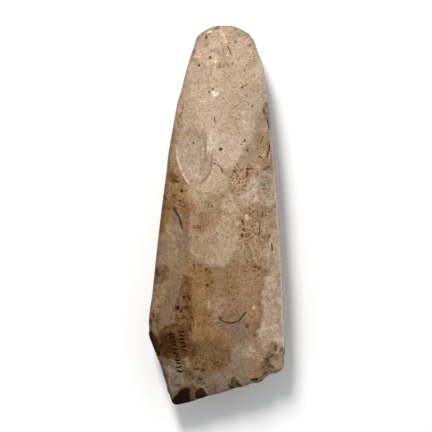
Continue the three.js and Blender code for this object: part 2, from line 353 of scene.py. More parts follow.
def paint_upper(u, v):
    c = Coat(u, v, 11, pink=0.62, cream=0.3, tan=0.08)
    lay = c.lay
    # broad tones down the length
    lay(poly((140, 168), (300, 160), (300, 430), (140, 430)), 22, 1, "tan:.55 grey:.32 pink:.13", speck=.25, ragged=3)
    lay(poly((140, 266), (300, 262), (300, 430), (140, 430)), 10, 1, "tan:.42 black:.33 umber:.16 ochre:.09", speck=.3, ragged=2)

    # ---- the butt ----
    lay(spot(228, 34, 20, 9), 4, .5, "pale:.37 black:.37 slate:.21 pink:.05")
    lay(poly((209, 37), (213, 31), (219, 29), (223, 32), (225, 36), (226, 40), (223, 46), (216, 48.5), (210, 46), (208, 41)), .9, .9, "pink:.58 pale:.24 black:.09 rust:.09", ragged=.3)
    lay(poly((222, 28), (232, 27), (243, 31), (250, 36), (247, 44), (238, 41), (228, 43), (225.5, 38), (222.5, 32)), 1.5, .7, "tan:.43 pink:.22 pale:.21 black:.14", ragged=.5)
    lay(spot(238, 34, 6, 3.5), 2, .5, "grey:.57 pink:.23 slate:.14 pale:.06")
    lay(spot(215.5, 29, 3.6, 1.3), .8, .9, "brown:.34 slate:.30 cream:.21 pale:.15", ragged=.3)
    lay(spot(204.5, 33.8, 4, 1.5, -38), .8, .75, "brown:.53 slate:.23 pale:.16 black:.08", ragged=.3)
    lay(spot(208.5, 34.5, 3.2, 1.0, -14), .6, .8, "brown:.59 rust:.22 tan:.19", ragged=.2)
    # painted highlight: a glint on the crest above the dark streak
    lay(spot(208.8, 32.4, 2.5, 1.1, -14), .6, 1, "pale:.59 rust:.22 brown:.10 umber:.09", ragged=.2)
    lay(spot(206.5, 38, 1.2, 2.0), .8, .7, "umber:.91 rust:.09", ragged=.2)
    lay(spot(201, 40, 4.2, 3.2), 2, .55, "tan:.49 rust:.40 pale:.11")
    lay(spot(206.5, 43.5, 3, 4.5), 2, .5, "tan:.58 black:.29 ochre:.13")
    lay(spot(203, 47, 4, 3.5), 2, .6, "slate:.41 pink:.41 pale:.18")
    lay(spot(193.6, 54, 1.6, 5, 12), 1, .8, "slate:.55 tan:.45", ragged=.3)
    lay(spot(194, 60, 4, 3), 2, .6, "tan:.45 black:.44 pale:.11")
    lay(spot(200, 66, 8, 6), 3, .5, "slate:.58 pink:.42")
    lay(spot(250, 45, 3, 4), 1.5, .6, "tan:.41 pale:.26 rust:.19 black:.14")
    lay(spot(254, 52, 5, 7), 3, .4, "pink:.55 pale:.25 cream:.10 tan:.10")
    lay(spot(258, 72, 5, 10), 4, .5, "cream:.51 pale:.49")
    lay(spot(245, 72, 9, 12), 5, .45, "pale:.56 rust:.36 pink:.08")
    lay(spot(222, 52, 9, 5), 3, .45, "grey:.80 slate:.14 tan:.06")
    # ---- the pale ridge below the butt facet, with a painted highlight on its crest and painted shade down its left flank ----
    lay(trail(2.6, (210.5, 51.5), (214, 50), (218, 51.5), (219, 54)), 1, .75, "grey:.72 brown:.16 tan:.12", ragged=.4)
    # pale patina, partly a painted highlight where the crest catches the light
    lay(poly((211, 57), (216, 55), (219.5, 58), (218, 62), (215.5, 65), (214.5, 70), (217, 74), (219, 79), (214, 82), (211.5, 79), (213, 71), (212, 66), (210, 61)), 1.1, .95, "cream:.36 pale:.34 umber:.18 rust:.12", ragged=.4)
    # painted shade down the steep left flank of the ridge
    lay(trail(1.8, (212.8, 65.5), (211.2, 69.5), (210.8, 75)), .9, .85, "grey:.44 tan:.29 brown:.20 pink:.07", ragged=.3)
    lay(spot(219.5, 66.5, 3.6, 3.4), 1.3, .75, "brown:.44 tan:.29 pale:.28", ragged=.8)
    lay(spot(224.5, 61, 2.5, 5), 1.5, .5, "grey:.36 brown:.31 pink:.21 pale:.13")
    lay(spot(225, 68, 5, 5), 3, .5, "pink:.53 black:.22 rust:.13 tan:.12")
    lay(spot(227, 79, 5, 10), 3, .5, "pink:.57 rust:.30 pale:.14")
    lay(spot(218, 76, 3.5, 4), 1.5, .5, "cream:.42 tan:.33 pale:.25")
    lay(spot(199, 76, 9, 9), 4, .5, "cream:.56 grey:.23 black:.22")
    lay(spot(203, 87, 8, 7), 4, .45, "grey:.55 cream:.45")
    lay(spot(209.5, 90.5, 3.8, 3.6), 1.5, .55, "grey:.41 pale:.36 slate:.23")
    # painted highlights: two small glints below the grey pit
    lay(spot(212.8, 92.6, 2.6, 1.3, -35), .7, 1, "pale:.67 black:.22 pink:.11", ragged=.3)
    lay(spot(215.5, 95.6, 3.2, 1.3, -18), .7, .95, "pale:.82 pink:.18", ragged=.3)
    lay(spot(219, 92, 4, 4), 2, .5, "pink:.76 pale:.24")
    # ---- upper body ----
    lay(poly((205, 98), (222, 97), (227, 112), (223, 127), (215, 136), (204, 134), (200, 120), (200, 106)), 4, .75, "cream:.64 pink:.36", ragged=1.5)
    lay(poly((188, 68), (191, 78), (190, 92), (184, 112), (178, 122), (176, 114), (180, 96), (184, 80)), 2.5, .7, "tan:.34 cream:.28 black:.23 ochre:.15", ragged=.8)
    lay(spot(187.5, 92, 4, 7), 2, .6, "pink:.60 grey:.25 tan:.15")
    lay(spot(190, 112, 9, 15, 12), 5, .6, "grey:.49 pink:.46 tan:.05")
    lay(spot(183, 107, 3, 6), 1.5, .6, "tan:.44 ochre:.33 pale:.23")
    lay(spot(190, 124, 7, 5), 3, .5, "pink:.57 cream:.21 umber:.15 tan:.07")
    lay(poly((176, 112), (182, 114), (184, 126), (180, 136), (176, 150), (170, 152), (171.5, 132)), 2.2, .8, "tan:.64 umber:.13 pink:.13 black:.10", speck=.3)
    lay(spot(237, 92, 9, 9), 5, .4, "pink:.54 rust:.27 pale:.19")
    lay(spot(246, 99, 5, 3), 2, .5, "pale:.52 rust:.48")
    lay(spot(236, 110, 5, 7), 3, .4, "pale:.51 rust:.49")
    lay(poly((250, 97), (259, 92), (263, 100), (260, 112), (250, 112)), 3, .6, "cream:.42 pale:.26 grey:.20 pink:.12")
    lay(poly((243, 108), (256, 104), (257, 114), (255, 130), (250, 141), (243, 138), (238, 124)), 3, .65, "cream:.41 pale:.30 grey:.20 black:.09", ragged=1.2)
    lay(poly((266.5, 101), (270, 108), (271, 126), (267, 124), (262.5, 114), (262.5, 107)), 1, .95, "brown:.34 tan:.32 ochre:.20 pale:.14", speck=.3, ragged=.5)
    lay(trail(2.2, (267.5, 112), (268.5, 121), (269, 128)), .9, .8, "umber:.55 pale:.26 rust:.19", ragged=.5)
    lay(poly((257, 110), (262, 111), (265, 122), (262, 138), (258, 150), (252, 148), (254.5, 136), (255.5, 120)), 1.6, .85, "grey:.63 tan:.31 pale:.06", ragged=.8)
    lay(spot(261, 131, 4, 6), 2, .5, "tan:.39 rust:.24 grey:.23 pale:.14")

    # ---- the long scar on the left ----
    lay(poly((172, 128), (176, 132), (176, 150), (178, 164), (184, 178), (190, 187), (182, 194), (168, 190), (165, 180), (168, 150)), 2, .9, "tan:.55 black:.25 rust:.20", speck=.4)
    lay(spot(174, 152, 3, 12), 2, .5, "tan:.56 slate:.26 black:.10 pale:.09")
    lay(poly((177, 150), (176.6, 157), (178.4, 164), (181.5, 172), (185, 179), (189, 185), (194, 184.5), (199, 182.5), (204, 178.5), (208, 170), (209, 160), (207, 148), (206, 138), (202, 131), (195, 128), (187, 131), (181, 138), (178, 144)), .8, 1, "grey:.45 cream:.34 pink:.14 slate:.07", speck=0, ragged=.25)
    lay(spot(192, 134, 10, 6, 8), 4, .65, "grey:.57 tan:.32 pink:.11", ragged=1.2)
    lay(spot(185, 153, 6, 9), 4, .5, "grey:.73 pale:.14 slate:.13")
    lay(spot(196, 150, 5, 8), 4, .35, "grey:.59 tan:.23 pale:.18")
    lay(spot(196, 170, 6, 10), 4, .4, "cream:.38 pale:.36 black:.26")
    # painted shade along the two step lines on the scar's right side, with a painted highlight on the crest between
    # them
    lay(trail(3.2, (203.4, 131), (204.0, 145), (204.6, 157), (203.2, 166), (200.6, 173)), 1.3, .6, "grey:.65 rust:.15 brown:.13 pale:.07", ragged=.25)
    lay(trail(1.3, (206.9, 138), (207.6, 150), (208.0, 159), (206.6, 168)), .7, .55, "cream:.74 black:.17 grey:.09", ragged=.25)
    lay(trail(2.0, (211, 156), (211.6, 164), (210.4, 171.5), (206.5, 177.5), (201.2, 182.5)), 1.0, .7, "grey:.69 pale:.19 brown:.12", ragged=.25)
    # painted highlight on the scar's left wall, which faces the light
    lay(trail(1.6, (176.8, 147), (177.0, 157), (179.2, 165.5), (183.0, 174), (188.6, 184)), .7, .8, "cream:.52 pink:.28 grey:.11 tan:.09", ragged=.2)
    lay(spot(173.5, 178, 6, 4.8, 18), 2, .95, "umber:.63 rust:.37", speck=.9)
    lay(spot(176.5, 182, 3.2, 1.8, 20), 1, .9, "ochre:.55 umber:.21 rust:.16 tan:.07", ragged=.6)
    lay(spot(171, 177, 3, 2), 1, .8, "umber:.52 rust:.35 tan:.07 ochre:.06", ragged=.6)

    # ---- the cream scar in the middle ----
    lay(poly((208, 134), (222, 131), (236, 133), (248, 134), (250, 142), (243.5, 148), (240.5, 156), (235, 164), (230, 170.5), (225, 171), (221, 167), (215, 163), (212, 157), (210, 146)), 1.0, .9, "cream:.80 pink:.15 black:.05", speck=0, ragged=.4)
    lay(spot(213, 142, 5, 9), 3, .5, "pale:.64 cream:.36")
    lay(poly((242, 149), (249, 143), (256, 147), (258, 156), (252, 164), (243, 161.5), (239.5, 158)), 1.0, .9, "grey:.61 tan:.19 pale:.13 rust:.07", ragged=.6)
    lay(poly((234, 166), (240, 160), (252, 162), (254, 168), (244, 170), (234, 170)), 1.5, .8, "tan:.66 pale:.15 black:.11 grey:.08", ragged=.8)
    lay(poly((262, 132), (270, 130), (273.5, 150), (273.5, 163), (262, 163), (256, 157), (255, 146), (258, 138)), 1.6, .9, "tan:.60 rust:.22 pale:.10 slate:.08", speck=.8)
    lay(spot(263, 152, 4, 5, 30), 1.5, .6, "tan:.88 pale:.12", speck=.2)
    lay(poly((254, 160), (263, 160), (262, 170), (256, 172), (252, 166)), 1.5, .8, "tan:.39 rust:.27 pale:.21 pink:.13")
    lay(poly((262, 164), (270, 161), (274, 166), (272, 171), (263, 171.5)), 1.3, .8, "grey:.52 tan:.29 rust:.18", ragged=.8)
    lay(poly((212, 158), (218, 164), (222, 172), (228, 177.5), (229.5, 184), (226, 191), (218, 194), (206, 193), (196, 190), (191, 186.5), (200, 184), (207, 179), (212, 168)), 1.2, .85, "cream:.48 pink:.47 tan:.05", speck=.1, ragged=.5)
    lay(poly((223, 168.5), (232, 169.5), (236, 177), (228.5, 178.5), (225, 174)), 1.0, .8, "tan:.86 pale:.08 ochre:.06", ragged=.5)
    lay(poly((230, 168), (240, 163), (252, 165), (259, 170), (254, 178), (254, 186), (246, 193), (236, 192), (227, 191), (229, 182), (230, 176)), 1.5, .9, "tan:.53 rust:.29 pale:.18", speck=.9)
    lay(spot(235, 172, 3.4, 2.6), 1.2, .6, "tan:.45 rust:.37 brown:.09 pale:.09", speck=1)
    lay(spot(247, 174, 2.6, 4), 1.2, .6, "tan:.44 rust:.29 ochre:.27", speck=1)
    lay(spot(241, 187, 8, 5), 3, .5, "rust:.52 pale:.48", speck=.7)
    lay(poly((259, 172), (270, 171), (274, 182), (274, 196), (263, 199), (258, 190)), 1.5, .85, "grey:.48 cream:.22 pale:.18 rust:.12", ragged=.8)
    lay(spot(264, 184, 4, 8), 2, .6, "pale:.36 slate:.33 black:.31")
    lay(spot(273, 184, 3, 14), 2, .5, "pale:.51 rust:.27 tan:.16 cream:.07")
    lay(poly((251, 176), (258, 178), (259, 192), (259, 204), (246, 205), (238, 199), (247, 190)), 2, .85, "pale:.53 rust:.30 cream:.17", speck=.15)
    lay(poly((258, 197), (277, 192), (278, 206), (262, 208)), 2, .7, "pale:.58 rust:.42")

    # ---- the middle ----
    lay(poly((164, 184), (172, 187), (177, 194), (184, 199), (186, 210), (178, 210), (171, 210), (168, 220), (166, 234), (158, 234), (161, 208)), 1.8, .9, "brown:.52 ochre:.42 slate:.06", speck=.6)
    lay(spot(166.5, 214, 3.4, 9, 6), 1.5, .7, "ochre:.87 black:.13")
    lay(spot(168.5, 193, 4, 5.5), 1.6, .7, "brown:.40 pink:.30 rust:.30")
    lay(poly((176, 190), (186, 188), (194, 198), (197, 206), (190, 213), (180, 213), (176, 204)), 2, .85, "ochre:.54 tan:.21 brown:.18 cream:.07", speck=.95)
    lay(poly((186, 186), (200, 190), (212, 194), (210, 202), (200, 206), (190, 200)), 3, .6, "tan:.68 pale:.22 rust:.10", speck=.4)
    lay(spot(186, 215, 5.5, 8), 2.5, .7, "umber:.45 ochre:.35 rust:.20", speck=.5)
    lay(poly((171.5, 210.5), (175, 211), (178.5, 216), (180.5, 224), (180, 232), (174, 235), (169, 231), (168.6, 220)), .9, .92, "grey:.46 ochre:.24 black:.22 tan:.09", speck=0, ragged=.4)
    # painted shade on the steep right wall of the leaf-shaped scar
    lay(trail(2.2, (173.5, 209.5), (177, 212.8), (179.6, 217.5), (181, 223), (182, 229)), .9, .85, "umber:.85 ochre:.15", ragged=.4)
    lay(poly((181, 222), (187.5, 221), (190, 227), (188, 233), (182.5, 232)), 1.6, .7, "black:.46 ochre:.31 slate:.23", ragged=.8)
    lay(poly((174, 234), (188, 231), (192, 240), (188, 250), (176, 246)), 3, .65, "slate:.37 umber:.24 grey:.23 black:.15")
    lay(poly((190, 206), (196, 205), (197.5, 214), (195, 224), (196, 236), (191, 241), (188.5, 228)), 1.8, .7, "tan:.44 black:.26 cream:.15 ochre:.14", speck=.4)
    lay(poly((198, 212), (206, 213), (210, 222), (207, 230), (200, 234), (193, 231), (193, 226), (199, 223)), 1.6, .8, "tan:.50 brown:.19 rust:.18 ochre:.14", speck=.7)
    lay(spot(200, 228, 7, 3.5, -10), 1.5, .5, "ochre:.52 brown:.28 cream:.12 pale:.08", speck=1)
    lay(spot(213, 214, 9, 13), 4, .6, "tan:.76 grey:.09 ochre:.08 pink:.07", speck=.35)
    lay(spot(213, 204, 6, 4.5), 2, .6, "ochre:.42 tan:.22 pale:.19 grey:.17", speck=.4)
    lay(poly((227, 191), (240, 197), (254, 203), (246, 207), (240, 214), (238, 236), (234, 252), (224, 266), (210, 265), (198, 259), (192, 250), (197, 239), (207, 235), (217, 228), (222, 216), (224, 202)), 3, .8, "tan:.63 cream:.20 pale:.17", speck=.2, ragged=1.2)
    lay(poly((194, 240), (206, 236), (216, 232), (218, 244), (212, 258), (200, 259), (193, 252)), 3, .6, "tan:.63 pink:.16 black:.14 umber:.08", speck=.25)
    lay(spot(229, 204, 6, 9), 3, .5, "pale:.44 tan:.31 rust:.25", speck=.3)
    lay(spot(232, 232, 5, 10), 3, .5, "tan:.86 pale:.14")
    lay(spot(225, 252, 6, 12, 20), 3, .6, "pink:.71 grey:.14 cream:.14")
    lay(spot(235, 243, 5, 7), 2.5, .6, "pink:.51 rust:.27 pale:.23")
    lay(poly((240, 208), (252, 204), (263, 207), (271, 212), (274, 228), (271, 240), (264, 246), (262, 256), (266, 270), (262, 278), (246, 277), (240, 264), (241, 246), (238, 228)), 2.2, .88, "rust:.48 tan:.30 pale:.22", speck=.9)
    lay(spot(244, 216, 4, 5), 2, .45, "rust:.51 pale:.26 tan:.23", speck=1)
    lay(spot(247, 257, 5, 8), 2.5, .45, "tan:.43 pink:.32 umber:.25", speck=.7)
    lay(spot(252, 268, 8, 6), 2.5, .6, "rust:.57 pale:.43", speck=1)
    lay(spot(262, 215, 6, 6), 2.5, .5, "tan:.78 ochre:.22", speck=.8)
    lay(spot(267, 226, 4, 8), 2, .5, "rust:.44 pale:.32 tan:.24", speck=.4)
    # right margin
    lay(poly((272, 204), (280, 204), (284, 250), (282, 280), (272, 282), (266, 264), (263, 248), (270, 240), (275, 226)), 2, .85, "cream:.49 rust:.21 pale:.15 tan:.14", speck=.2)
    lay(spot(273.5, 228, 2.2, 9, -8), 1.3, .6, "tan:.78 pale:.22")
    lay(spot(268, 250, 3, 9), 2, .6, "pale:.36 tan:.28 rust:.24 pink:.12")
    lay(spot(271, 266, 2.4, 14, -4), 1.6, .7, "slate:.51 pink:.33 pale:.17")
    lay(spot(277.5, 262, 2.5, 8), 1.5, .5, "pale:.33 cream:.28 grey:.26 black:.13")
    # left, above the dark oval
    lay(poly((158, 235), (168, 233), (176, 240), (188, 246), (192, 256), (190, 264), (184, 274), (172, 270), (156, 264)), 2.2, .88, "ochre:.44 slate:.30 grey:.26", speck=.3)
    lay(spot(163, 250, 5, 9), 3, .4, "black:.32 ochre:.30 grey:.29 tan:.09")
    lay(spot(176, 256, 8, 6), 3, .4, "grey:.49 tan:.26 black:.16 pale:.09")

    # ---- the lower left ----
    lay(poly((154.5, 273), (157, 267), (163, 264.5), (168, 266), (170, 271), (167.5, 278), (161, 284), (155, 286)), 1.1, .92, "brown:.69 grey:.19 black:.12", speck=.1, ragged=.5)
    lay(poly((171, 264), (188, 264), (185, 275), (179, 290), (176, 304), (168, 308), (160, 298), (160, 286), (168, 277)), 2, .8, "ochre:.43 slate:.33 grey:.24", speck=.2)
    lay(poly((152, 286), (160, 284), (166, 290), (165, 300), (159, 312), (150.5, 313)), 1.6, .85, "brown:.44 tan:.31 pink:.25", speck=.2)
    lay(poly((166, 298), (174, 300), (174.5, 314), (172, 327), (160, 329), (160, 314)), 1.6, .88, "ochre:.38 slate:.25 grey:.25 black:.13", speck=.1, ragged=.7)
    lay(poly((149, 312), (160, 312), (161, 328), (157, 332), (150, 332)), 1.6, .8, "black:.41 ochre:.41 grey:.18", speck=.3)

    # ---- the great brown stain ----
    lay(poly((190, 263), (200, 263), (210, 268), (222, 269), (232, 263), (244, 264), (256, 262), (266, 272), (263, 284), (260, 300), (261, 316), (255, 330), (250, 346), (241, 352), (233, 364), (222, 371), (206, 375), (194, 374), (187, 366), (184, 356), (184, 342), (180, 330), (174, 326), (173, 312), (176, 296), (180, 282), (184, 272)), 1.5, .95, "tan:.44 ochre:.26 grey:.22 rust:.08", speck=.5)
    lay(poly((188, 268), (200, 266), (214, 272), (216, 290), (213, 306), (210, 330), (206, 352), (196, 362), (186, 352), (184, 330), (184, 300), (184, 280)), 3.5, .8, "ochre:.78 tan:.22", speck=.45)
    lay(poly((183, 274), (190, 276), (192, 296), (194, 318), (192, 334), (182, 330), (175, 325), (174, 310), (177, 296), (181, 284)), 2.2, .75, "umber:.63 rust:.28 ochre:.09", speck=1)
    lay(poly((190, 263), (196, 262.5), (204, 265), (212, 270), (206, 274), (194, 271)), 1.4, .7, "ochre:.38 rust:.28 brown:.25 pale:.09", speck=.8)
    lay(spot(203, 296, 6, 10), 4, .5, "tan:1", speck=.2)
    lay(spot(216, 304, 10, 8), 4, .45, "rust:.48 pale:.33 tan:.19", speck=.3)
    lay(poly((236, 268), (262, 272), (259, 300), (260, 316), (252, 330), (243, 318), (240, 300)), 4, .7, "tan:.47 rust:.27 cream:.16 pink:.09", speck=.45)
    lay(spot(233, 284, 6, 6), 2.5, .55, "ochre:.56 tan:.44", speck=.6)
    lay(spot(228.5, 291.5, 3.2, 2.4, 10), 1.2, .8, "ochre:.60 rust:.40", speck=.8, ragged=.6)
    lay(spot(222, 278, 8, 5), 3, .5, "ochre:.64 grey:.21 tan:.15", speck=.6)
    lay(spot(236, 300, 7, 8), 3, .4, "tan:.79 ochre:.21", speck=.6)
    lay(spot(253.5, 307, 1.5, 1.9, -15), .7, 1, "tan:.35 rust:.34 pale:.32", ragged=.2)
    lay(spot(215, 317, 2.6, 9, 8), 2, .6, "tan:.93 rust:.07")
    lay(spot(205, 322, 5, 10), 3, .5, "tan:.57 rust:.32 black:.11")
    lay(spot(222, 334, 4, 5), 2, .6, "rust:.64 tan:.36", speck=.5)
    lay(spot(253, 322, 3, 8), 2, .5, "rust:.58 tan:.42", speck=.6)
    lay(poly((219, 321), (228, 323.5), (240, 322), (245, 314), (249, 324), (250, 336), (244, 343), (236, 343), (228, 335)), 1.6, .88, "grey:.43 slate:.38 rust:.19", speck=0, ragged=.7)
    # below the stain, to the right
    lay(poly((266, 274), (284, 268), (286, 345), (278, 354), (264, 350), (257, 332), (262, 314), (261, 292)), 2.4, .92, "cream:.36 rust:.34 pale:.30", speck=.12, ragged=1.2)
    lay(spot(278, 322, 4, 14), 3, .5, "cream:.51 grey:.49")
    lay(poly((250, 340), (262, 334), (270, 346), (262, 362), (248, 366), (240, 356)), 4, .75, "tan:.46 pale:.31 rust:.23", speck=.3)
    lay(poly((236, 344), (250, 340), (246, 358), (236, 368), (226, 368), (230, 356)), 3, .7, "grey:.53 slate:.22 pink:.13 pale:.11", speck=.2)
    lay(spot(274, 346, 5, 5), 2.5, .6, "ochre:.81 rust:.14 tan:.05", speck=.8)
    lay(poly((200, 340), (216, 336), (230, 344), (232, 360), (222, 370), (204, 374), (190, 368), (186, 352)), 3, .75, "ochre:.61 black:.24 tan:.10 brown:.05", speck=.5)
    lay(spot(192, 348, 7, 9), 3, .6, "umber:.87 rust:.13", speck=.4)
    lay(spot(214, 358, 5, 4), 2, .55, "ochre:.44 black:.28 brown:.21 cream:.07", speck=.9)
    # the dark stain by the broken corner
    lay(poly((160, 330), (166, 324), (180, 325), (190, 330), (191, 344), (187, 355), (180, 359), (170, 358.5), (160, 357), (156, 350), (153, 340)), 1.6, .95, "umber:.52 brown:.33 ochre:.15", speck=.5)
    lay(poly((160, 335), (172, 331), (176, 342), (174, 352), (164, 355), (158, 350)), 2.5, .8, "umber:.75 black:.25", speck=.2)
    lay(spot(171, 329, 8, 3), 2, .6, "brown:.76 rust:.24", speck=.8)
    lay(poly((150, 331), (154, 334), (158.5, 340), (159.5, 350), (160.5, 357), (156, 356), (150, 344), (147, 336)), 1.0, .95, "umber:.57 black:.43", ragged=.5)
    lay(poly((160.5, 359.5), (170, 358.5), (177, 361), (182, 370), (187, 377), (190, 385), (183, 387), (177, 392), (172.5, 400), (167, 393), (162, 376)), 1.3, .92, "grey:.39 black:.37 pink:.24", speck=.05, ragged=.6)
    lay(spot(166, 362, 5, 3.5), 2, .5, "umber:.92 rust:.08")
    lay(poly((187, 379), (200, 376), (222, 371), (237, 361), (248, 356), (262, 366), (264, 379), (250, 384), (236, 389), (220, 395), (205, 398), (197, 398), (190, 390)), 2.2, .85, "grey:.66 tan:.26 cream:.08", speck=.2)
    lay(poly((182, 366), (196, 373), (206, 375), (204, 384), (192, 386), (186, 377)), 2.5, .6, "ochre:.45 black:.32 grey:.23", speck=.5)
    lay(spot(212, 385, 7, 7), 3, .5, "grey:.43 black:.36 ochre:.22", speck=.2)
    lay(poly((246, 357), (258, 358), (261, 368), (257, 377), (248, 378), (244, 368)), 2, .7, "tan:.84 rust:.09 pale:.07", speck=.3)
    lay(poly((188.5, 385), (193, 383), (197.5, 388), (196, 397), (191, 401), (189.5, 394)), 1.2, .8, "black:.46 ochre:.44 slate:.10", speck=.5, ragged=.6)
    # the two burnt spots at the point
    lay(poly((170, 404), (174, 398), (178.5, 391.5), (183, 387.3), (188, 386.3), (190.8, 389), (190, 395), (190.5, 403), (180, 406)), 1.0, 1, "black:.85 umber:.15", ragged=.5)
    lay(poly((194.3, 397), (196.8, 390.5), (200, 387.6), (203.4, 388.2), (206, 392), (208, 397.5), (200, 401)), 1.0, .97, "black:.75 umber:.25", ragged=.5)
    lay(spot(186, 389.6, 3.6, 2.4), 1.5, .6, "umber:.85 black:.15", ragged=.6)
    lay(spot(200.8, 390.6, 3.6, 2.2), 1.5, .65, "umber:.9 brown:.1", ragged=.6)
    # chips along the edge
    lay(poly((229.5, 386), (231.5, 378.5), (234, 376), (237.5, 380), (241, 385), (241.5, 388), (236, 390), (231, 391)), .9, .9, "brown:.62 ochre:.23 rust:.15", ragged=.4)
    lay(poly((229, 385), (232, 385.5), (233.5, 388), (231, 391), (228, 389)), .8, .9, "umber:.38 ochre:.27 black:.24 pale:.11", ragged=.4)
    lay(poly((238, 384.5), (241.5, 385), (243, 387), (239, 388.5)), .8, .9, "black:.66 slate:.34", ragged=.4)
    lay(trail(1.4, (228.8, 380.5), (231, 378), (234, 375.8), (236, 378.5)), .7, .8, "tan:.56 umber:.34 cream:.10", ragged=.3)
    lay(poly((251, 380), (255, 377), (258.5, 377.5), (258, 381), (253, 383)), .9, .9, "rust:.38 umber:.36 tan:.26", ragged=.5)
    lay(poly((257, 377), (263, 374), (263, 378.5), (259, 380.5)), .9, .85, "ochre:.58 tan:.42", ragged=.5)
    lay(poly((269, 358), (275, 354), (283, 352), (286, 367), (277, 372), (271.5, 368.5), (270, 363)), 1.2, .88, "cream:.45 rust:.31 pink:.18 tan:.07", speck=0, ragged=.5)
    lay(spot(281.5, 359, 3, 8), 1.6, .7, "tan:.56 cream:.44")
    lay(poly((261.5, 372), (265, 364.5), (270, 362.5), (274.5, 367), (274, 373), (266, 378), (262, 378)), 1.1, .85, "pink:.43 rust:.27 brown:.24 grey:.06", ragged=.5)
    lay(spot(270, 369.5, 3, 2), 1, .6, "pink:.61 black:.31 umber:.08", ragged=.4)
    lay(trail(2.0, (266, 365.5), (270, 363.5), (273.5, 366.5)), .8, .85, "tan:.53 brown:.35 pale:.12", ragged=.4)
    lay(trail(2.4, (262.5, 373), (265.5, 372), (268, 375)), .8, .85, "brown:.40 tan:.39 umber:.14 cream:.07", ragged=.4)
    lay(trail(1.6, (263.5, 358.5), (268, 356.5), (274, 354)), .8, .75, "tan:.57 rust:.25 pale:.17", ragged=.3)
    lay(trail(1.2, (266, 361), (269, 359.5)), .7, .6, "tan:.56 brown:.27 rust:.11 pale:.07", ragged=.3)
    lay(spot(275.5, 348, 1.6, 2.6, 20), .9, .75, "tan:.40 brown:.38 ochre:.18 rust:.04", ragged=.5)
    lay(spot(281.5, 348.5, 1.8, 1.4), .9, .75, "rust:.51 brown:.31 tan:.18", ragged=.5)
    lay(spot(270, 350.5, 2.2, 1.1, -20), .9, .6, "tan:.40 brown:.35 rust:.25", ragged=.5)
    return c
# [/paint] -------------------------------------------------------------------------------


# [lower] --------------------------------------------------------------------------------
def paint_lower(x, y):
    """The under face, on the same drawing grid seen from above: in keeping with the upper face, and plainer."""
    u, v = to_grid(x, y)
    c = Coat(u, v, 211, pink=0.56, cream=0.28, tan=0.16)
    lay = c.lay
    lay(poly((140, 150), (300, 170), (300, 430), (140, 430)), 24, 1, "tan:.46 pink:.34 grey:.2", speck=.25, ragged=3)
    lay(poly((140, 300), (300, 276), (300, 430), (140, 430)), 16, 1, "tan:.46 ochre:.3 grey:.16 pink:.08", speck=.3, ragged=3)
    lay(spot(233, 91, 17, 28, 12), 3, .7, "cream:.6 grey:.3 pink:.1", ragged=.8)
    lay(spot(199, 121, 13, 22, -10), 2.5, .75, "grey:.5 cream:.4 slate:.1", ragged=.8)
    lay(spot(222, 42, 11, 11), 2, .7, "pink:.5 cream:.4 tan:.1", ragged=.6)
    lay(spot(260, 207, 10, 24, 5), 2, .8, "grey:.55 slate:.2 pink:.25", ragged=.8)
    lay(spot(174, 243, 11, 18, -12), 2, .8, "slate:.35 grey:.4 ochre:.25", ragged=.8)
    lay(spot(248, 320, 17, 12, -20), 3, .7, "grey:.5 cream:.3 slate:.2", ragged=.8)
    lay(poly((186, 196), (214, 186), (232, 204), (236, 240), (222, 262), (204, 262), (190, 240)), 5, .7, "tan:.6 ochre:.25 rust:.15", speck=.8, ragged=2)
    lay(poly((196, 282), (236, 276), (252, 300), (236, 330), (214, 352), (190, 356), (180, 330), (184, 300)), 5, .8, "ochre:.55 tan:.3 brown:.15", speck=.7, ragged=2)
    lay(poly((150, 320), (176, 314), (192, 330), (190, 356), (176, 372), (158, 372)), 2.5, .9, "brown:.5 umber:.3 ochre:.2", speck=.6, ragged=1)
    lay(spot(238, 166, 12, 16), 5, .55, "pink:.6 cream:.4")
    lay(spot(262, 262, 10, 26), 5, .6, "cream:.4 pink:.4 grey:.2", speck=.2)
    lay(spot(212, 82, 8, 20, 8), 3, .5, "tan:.5 rust:.1 pink:.4", speck=.4)
    lay(spot(186, 180, 9, 16, -8), 4, .6, "ochre:.4 tan:.5 brown:.1", speck=.8)
    lay(poly((196, 376), (240, 362), (272, 350), (270, 384), (226, 396), (196, 402)), 4, .7, "grey:.6 pink:.2 tan:.2", speck=.2)
    lay(spot(244, 386, 9, 6, -18), 1.5, .7, "grey:.4 slate:.4 pink:.2", ragged=.5)
    lay(spot(194, 398, 8, 5, -18), 1.5, .7, "brown:.3 grey:.5 slate:.2", ragged=.5)
    lay(spot(228, 214, 3, 2.4), 1.2, .8, "brown:.7 umber:.3", speck=1)
    lay(spot(205, 318, 4, 3), 1.4, .8, "umber:.7 brown:.3", speck=1)
    lay(spot(216, 300, 2.6, 3.6), 1.2, .7, "brown:.8 rust:.2", speck=1)
    return c
# [/lower] -------------------------------------------------------------------------------


